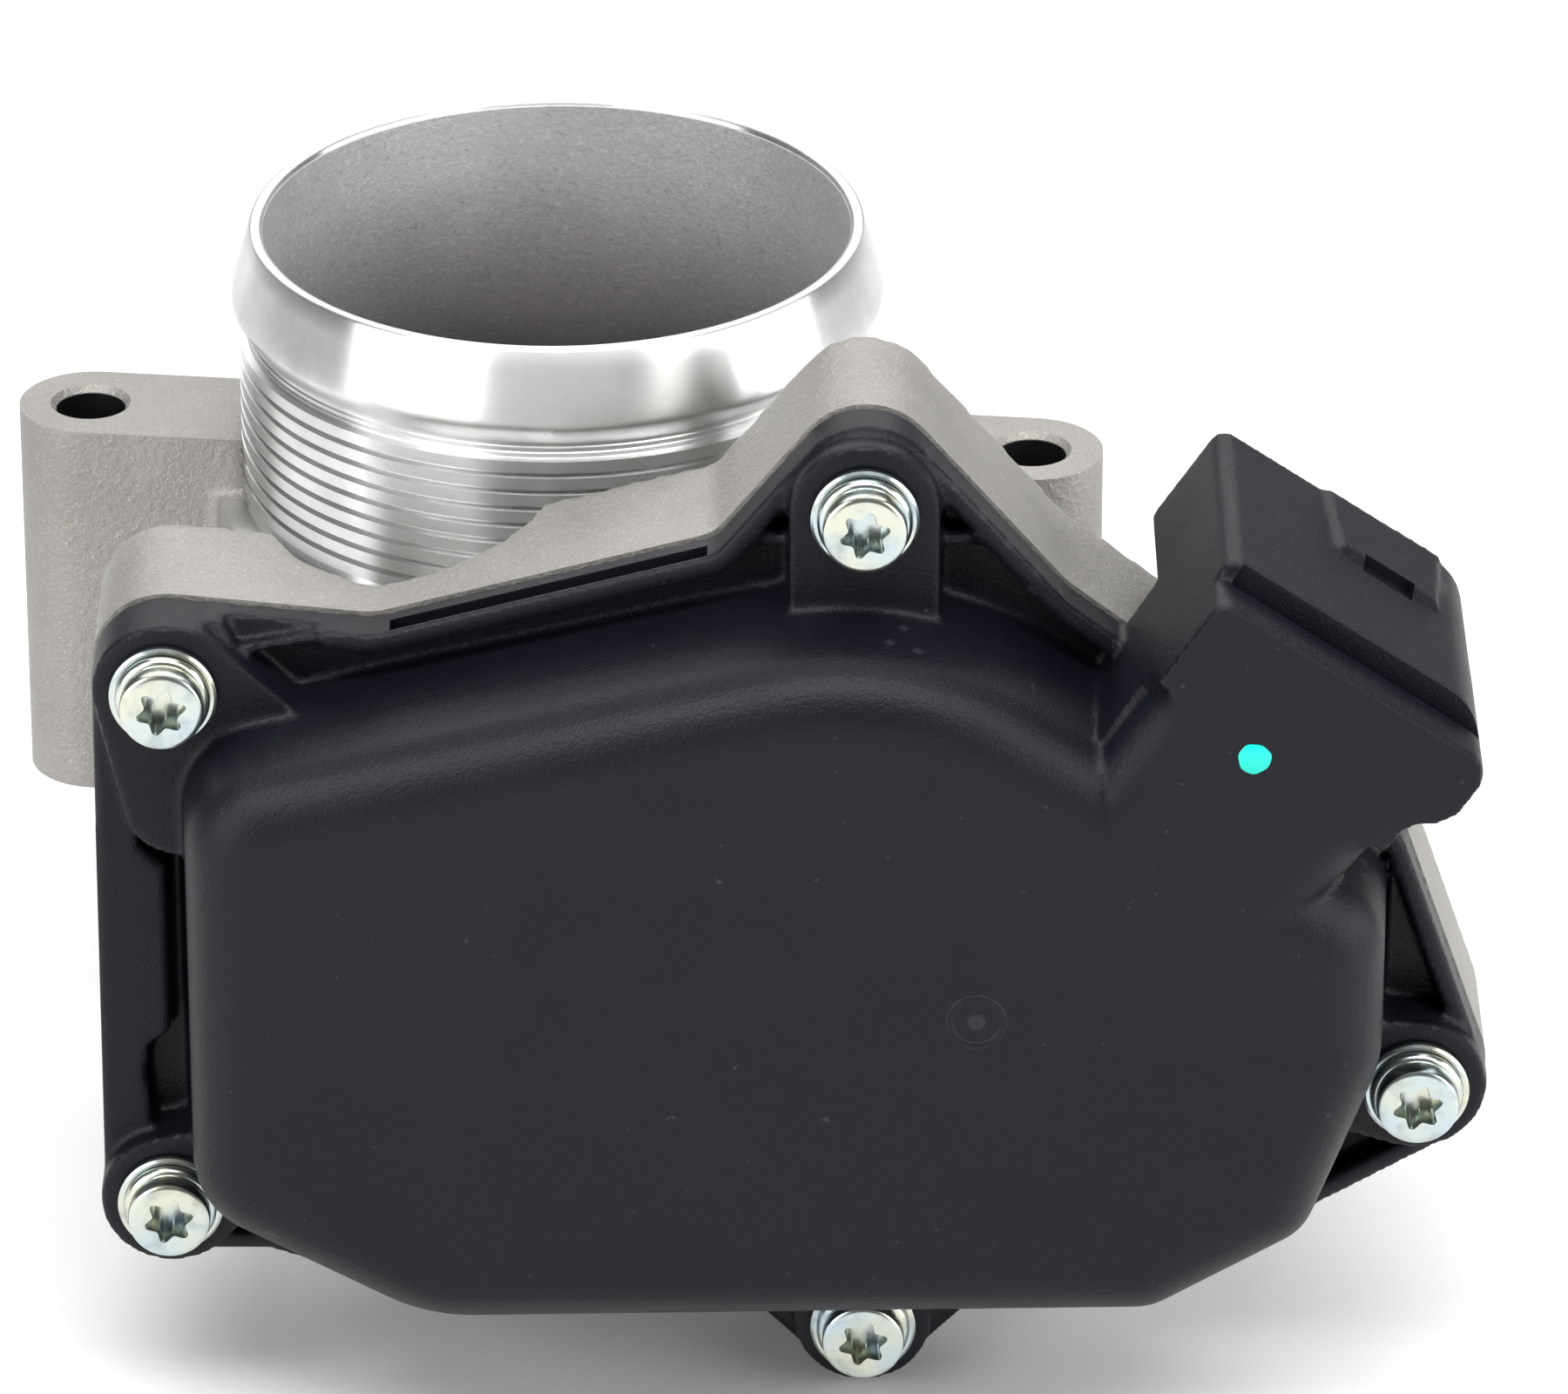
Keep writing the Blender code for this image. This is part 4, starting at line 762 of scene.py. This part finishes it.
def plug_block(name, along, up, y):
    """A block in the connector's own directions: spans of along, up and y."""
    spots = [(along[0], up[0]), (along[1], up[0]), (along[1], up[1]), (along[0], up[1])]
    return loft(name, [[lifted(plug_point(a, u), level) for a, u in spots] for level in y])


def flange():
    """Flange floor, raised rim with its notch, screw towers and short ribs."""
    floor_top = FLANGE_FLOOR + 0.5
    parts = [prism('plate', rounded(flange_corners()), FLANGE_FLOOR, COVER_BACK)]
    rim = prism('rim', rounded(flange_corners()), RIM_FACE, floor_top)
    cut(rim, prism('rim_core', rounded(flange_corners(), -RIM_WIDTH), RIM_FACE - 2, FLANGE_FLOOR + 2))
    notch = [(-32.0, 48.5), (-28.4, 42.6), (-20.6, 42.6), (-21.8, 48.5)]
    cut(rim, prism('rim_notch', notch, RIM_FACE - 2, -54.2))
    parts.append(rim)
    left, top, right, low_left, low = SCREWS
    r = BOSS_R - 0.15
    towers = [
        [(*left, r), (-23.8, 36.9, 0.8), (-32.6, 44.9, 0.9), (-34.5, 27.5, 5.0)],
        [(*top, r + 0.3), (top[0], top[1] - 16, r + 0.3)],
        [(*right, r), (right[0] - 10, right[1] + 2, 5.5)],
        [(*low_left, r), (low_left[0] + 10, low_left[1] + 5.5, 3.5)],
        [(*low, r - 0.2), (low[0], low[1] + 9, r + 1)],
    ]
    for circles in towers:
        parts.append(prism('tower', hull(circles), BOSS_FACE, floor_top))
    rib_z = top[1] - 4.0
    ribs = [
        ((top[0] - 11.4, rib_z), (top[0] - 4, rib_z), 1.2, RIM_FACE + 0.6),
        ((top[0] + 4, rib_z), (top[0] + 12, rib_z), 1.2, RIM_FACE + 0.6),
        ((-28.6, 42.4), (-19.5, 44.0), 0.9, RIM_FACE + 0.4),
    ]
    for start, end, width, face in ribs:
        parts.append(prism('rib', bar(start, end, width), face, floor_top))
    return parts


def left_band():
    """A solid band along the flange's left side, widest beside the middle of the dome."""
    band = [(-42.0, -9.0), (-37.2, -9.3), (-38.0, -6.5), (-38.3, -2.0), (-38.0, 0.8), (-35.9, 2.5),
            (-35.9, 20.0), (-38.2, 22.0), (-38.9, 27.0), (-38.9, 31.0), (-37.6, 36.0), (-42.0, 36.0)]
    return prism('left_band', band, RIM_FACE, FLANGE_FLOOR + 0.5)


def hollow_cover(body):
    """The room inside: under the dome, in the neck, in the socket, and slots for the pins."""
    hollow = dome('hollow', -COVER_WALL, DOME_FACE + COVER_WALL, COVER_BACK + 8, 3.0, 0.5)
    cut(hollow, cylinder('socket_core', AXLE_R + 2, DOME_FACE, -64.0, AXLE))
    cut(body, hollow)
    cut(body, cylinder('axle_seat', AXLE_R + 0.2, -66.6, -62.0, AXLE))
    wide = 2 * PIN_PITCH + 1.5
    inside = plug_corners(-wide, wide, -24, 1.6, 1, 1)
    cut(body, prism('neck_hollow', rounded(inside, 0, 3), DOME_FACE + COVER_WALL, SOCKET_FLOOR - 2.5))
    end = PLUG_LENGTH / 2 - PLUG_WALL
    half = PLUG_WIDTH / 2 - PLUG_WALL
    socket = rounded(plug_corners(-end, end, -half, half, 3.5, half - 0.1), 0, 14)
    cut(body, prism('plug_socket', socket, SOCKET_FLOOR, PLUG_MOUTH + 3))
    for number in range(5):
        along = (number - 2) * PIN_PITCH
        slot = (along - 1.3, along + 1.3), (-0.78, 0.78), (SOCKET_FLOOR - 4, SOCKET_FLOOR + 1)
        cut(body, plug_block('pin_slot', *slot))


def cover_shell():
    """The black cover: one softened moulding, with crisp slots, hollows and holes."""
    body = dome('cover_shell')
    add(body, neck())
    add(body, *flange())
    add(body, shroud())
    add(body, latch())
    add(body, left_band())
    soften(body, COVER_VOXEL, 3)
    above = PLUG_WIDTH / 2 - 0.5
    cut(body, plug_block('collar_slot', (-PLUG_LENGTH / 2 + 1.4, 20), (above - COLLAR_DROP, 9),
                         (PLUG_SHOULDER - 0.75, PLUG_SHOULDER + 0.35)))
    cut(body, plug_block('latch_slot', (LATCH_AT - 2.8, LATCH_AT + 2.8), (above, 9), (-51.0, -48.2)))
    # A groove along the outer side of the long top run leaves a thin lip in front.
    groove = bar((-14.6, 44.4), (14.9, 52.1), 2.6)
    cut(body, prism('side_groove', groove, RIM_FACE + 0.75, RIM_FACE + 2.9))
    hollow_cover(body)
    for spot in SCREWS:
        cut(body, cylinder('hole', SCREW_HOLE_R, BOSS_FACE - 4, COVER_BACK + 4, spot))
    shade(body, 40)
    return finish(body, COVER, nodes=['gearbox_cover'])


def gate_mark():
    """The mark of the moulding gate on the dome's face: a fine ring round a nub."""
    under = DOME_FACE + 0.3
    crest = MARK_FACE + 0.03
    profile = [(1.9, under), (2.1, DOME_FACE), (2.35, crest), (2.5, MARK_FACE), (2.65, crest),
               (2.9, DOME_FACE), (3.1, under)]
    ring = turned_ring('gate_ring', profile, GATE_MARK, 'Y')
    finish(shade(ring, 50), COVER)
    root = DOME_FACE + 0.5
    profile = [(0, root), (0.95, root), (0.85, DOME_FACE), (0.5, MARK_FACE), (0, MARK_FACE)]
    nub = turned('gate_nub', profile, GATE_MARK, 'Y', 32)
    finish(shade(nub, 50), COVER)


def paint_dot():
    """The dot of paint on the neck, not quite round."""
    steps = 40
    rings = []
    for radius, y in ((1.5, DOME_FACE + 0.3), (1.52, DOME_FACE - 0.05), (1.35, MARK_FACE), (0.01, MARK_FACE)):
        ring = []
        for k in range(steps):
            angle = 2 * math.pi * k / steps
            reach = radius * (1 + 0.03 * math.sin(3 * angle + 1) + 0.02 * math.sin(7 * angle))
            ring.append((PAINT_DOT[0] + reach * math.cos(angle), y, PAINT_DOT[1] + reach * math.sin(angle)))
        rings.append(ring)
    dot = loft('paint_dot', rings)
    finish(shade(dot, 60), PAINT)


# ---------------------------------------------------------------- fasteners

def star(centre, radius, swing, steps=96):
    """Six-lobe outline: the radius swings out at the lobes and three quarters as far in between them."""
    turn = 0.26
    points = []
    for k in range(steps):
        angle = 2 * math.pi * k / steps
        wave = math.cos(6 * angle)
        reach = radius + swing * (wave if wave > 0 else 0.75 * wave)
        across = reach * math.cos(angle + turn)
        up = reach * math.sin(angle + turn)
        points.append(Vector((centre[0] + across, centre[1] + up)))
    return points


def screw_set(number, spot):
    """Screw, lock washer and flat washer, with rounded edges and a six-lobe recess."""
    flat = BOSS_FACE - 0.15
    lock = flat - 1.05
    head = lock - 0.95
    face = head - 2.0
    end = PARTING + 9
    washer = [(2.65, flat), (2.65, flat - 0.85), (4.75, flat - 0.9), (5.0, flat - 0.72), (5.05, flat - 0.45),
              (5.0, flat - 0.12), (4.85, flat)]
    piece = turned_ring(f'cover_flat_washer_{number}', washer, spot, 'Y')
    finish(shade(piece), ZINC, nodes=[f'flat_washer_{number}'])
    collar = [(2.65, lock), (2.65, lock - 0.8), (3.9, lock - 0.8), (4.2, lock - 0.62), (4.4, lock - 0.3),
              (4.4, lock)]
    piece = turned_ring(f'cover_lock_washer_{number}', collar, spot, 'Y')
    finish(shade(piece), ZINC, nodes=[f'lock_washer_{number}'])
    profile = [(0, end), (1.9, end), (2.5, end - 1.0), (2.5, head), (3.75, head), (3.9, head - 0.2),
               (3.9, face + 0.5), (3.82, face + 0.2), (3.6, face + 0.03), (3.3, face), (0, face)]
    screw = turned(f'cover_lobe_screw_{number}', profile, spot, 'Y')
    sections = [(1.95, 0.42, -1), (1.95, 0.42, 0.05), (1.82, 0.4, 0.25), (1.72, 0.38, 2.6)]
    rings = [along_y(star(spot, radius, swing), face + depth) for radius, swing, depth in sections]
    cut(screw, loft('recess', rings))
    finish(shade(screw), ZINC, nodes=[f'cover_screw_{number}'])


# ---------------------------------------------------------------- build

CAST = cast_metal()
TURNED = turned_metal()
BORE = bore_metal()
# Painted shade: the near-black colour of the bolt holes' walls stands in for the shade inside them.
HOLE_SHADE = plain_metal('hole_wall_painted_shade', (0.035, 0.036, 0.037), 0.55)
COVER = black_plastic()
ZINC = zinc()
PAINT = plain_matter('teal_paint', (0.0, 0.62, 0.5), 0.35)
STEEL = plain_metal('ground_steel', (0.55, 0.55, 0.56), 0.3)
BRASS = plain_metal('rolled_brass', (0.76, 0.58, 0.3), 0.3)
GOLD = plain_metal('gold_flash', (0.86, 0.64, 0.3), 0.24)
RUBBER = plain_matter('seal_rubber', (0.03, 0.03, 0.03), 0.75)
NATURAL = plain_matter('natural_acetal', (0.78, 0.75, 0.66), 0.45)
GREEN = plain_matter('board_mask', (0.03, 0.19, 0.08), 0.4)

# The CAD nodes that keep their shape get a finish by their record slot.
KEPT = {
    'steel': STEEL, 'brass': BRASS, 'gold_plate': GOLD, 'black_rubber': RUBBER, 'natural_plastic': NATURAL,
    'circuit_board': GREEN, 'zinc_plate': ZINC,
}

casting_body()
spigot()
hole_sleeves()
bore_liner()
cover_shell()
gate_mark()
paint_dot()
for number, spot in enumerate(SCREWS, 1):
    screw_set(number, spot)

slots = {row['node']: row['material_slot'] for row in frame['record']['subparts']}
for node, obj in frame['nodes'].items():
    if slots.get(node) in KEPT:
        for index in range(len(obj.material_slots)):
            obj.material_slots[index].material = KEPT[slots[node]]


# ---------------------------------------------------------------- stage, in metres

MIDDLE = Vector((0.02, -0.01, 0.02))


def light(name, size, power, spot):
    """A rectangular soft box of size metres and power watts at spot, turned to the object."""
    data = bpy.data.lights.new(name, 'AREA')
    data.shape = 'RECTANGLE'
    data.size, data.size_y = size
    data.energy = power
    obj = bpy.data.objects.new(name, data)
    obj.location = spot
    obj.rotation_euler = (MIDDLE - Vector(spot)).to_track_quat('-Z', 'Y').to_euler()
    bpy.context.scene.collection.objects.link(obj)


floor_z = CAD_BOX[0][2] - 0.0005
floor_mesh = bpy.data.meshes.new('floor')
floor_corners = [(-4, -4, floor_z), (4, -4, floor_z), (4, 4, floor_z), (-4, 4, floor_z)]
floor_mesh.from_pydata(floor_corners, [], [(0, 1, 2, 3)])
floor = bpy.data.objects.new('floor', floor_mesh)
bpy.context.scene.collection.objects.link(floor)
paper = Nodes('pale_paper')
paper.set(Base_Color=paper.blend(paper.noise(6, 2), (0.72, 0.72, 0.72), (0.76, 0.76, 0.76)), Roughness=0.9)
floor_mesh.materials.append(paper.material)

light('key_above', (1.5, 0.22), 14.0, (0.0, -0.5, 0.92))
light('box_left', (0.86, 0.6), 5.5, (-0.7, -0.59, 0.32))
light('box_right', (1.2, 0.6), 9.0, (0.87, -0.33, 0.3))
light('top', (1.2, 1.2), 8.0, (0.0, 0.3, 1.3))
light('back', (1.6, 0.7), 9.0, (0.0, 1.1, 0.75))

world = bpy.data.worlds.new('studio')
world.use_nodes = True
world.node_tree.nodes['Background'].inputs['Color'].default_value = (1.0, 1.0, 1.0, 1)
world.node_tree.nodes['Background'].inputs['Strength'].default_value = 0.16
bpy.context.scene.world = world
bpy.context.scene.view_settings.view_transform = 'Standard'

# A long lens that looks down by 27 degrees.
lens = bpy.data.cameras.new('camera')
lens.lens = 240
lens.sensor_width = 36
lens.clip_end = 20
camera = bpy.data.objects.new('camera', lens)
camera.location = (0.02197, -0.92095, 0.47848)
camera.rotation_euler = (math.radians(90 - 27), 0, 0)
bpy.context.scene.collection.objects.link(camera)
bpy.context.scene.camera = camera
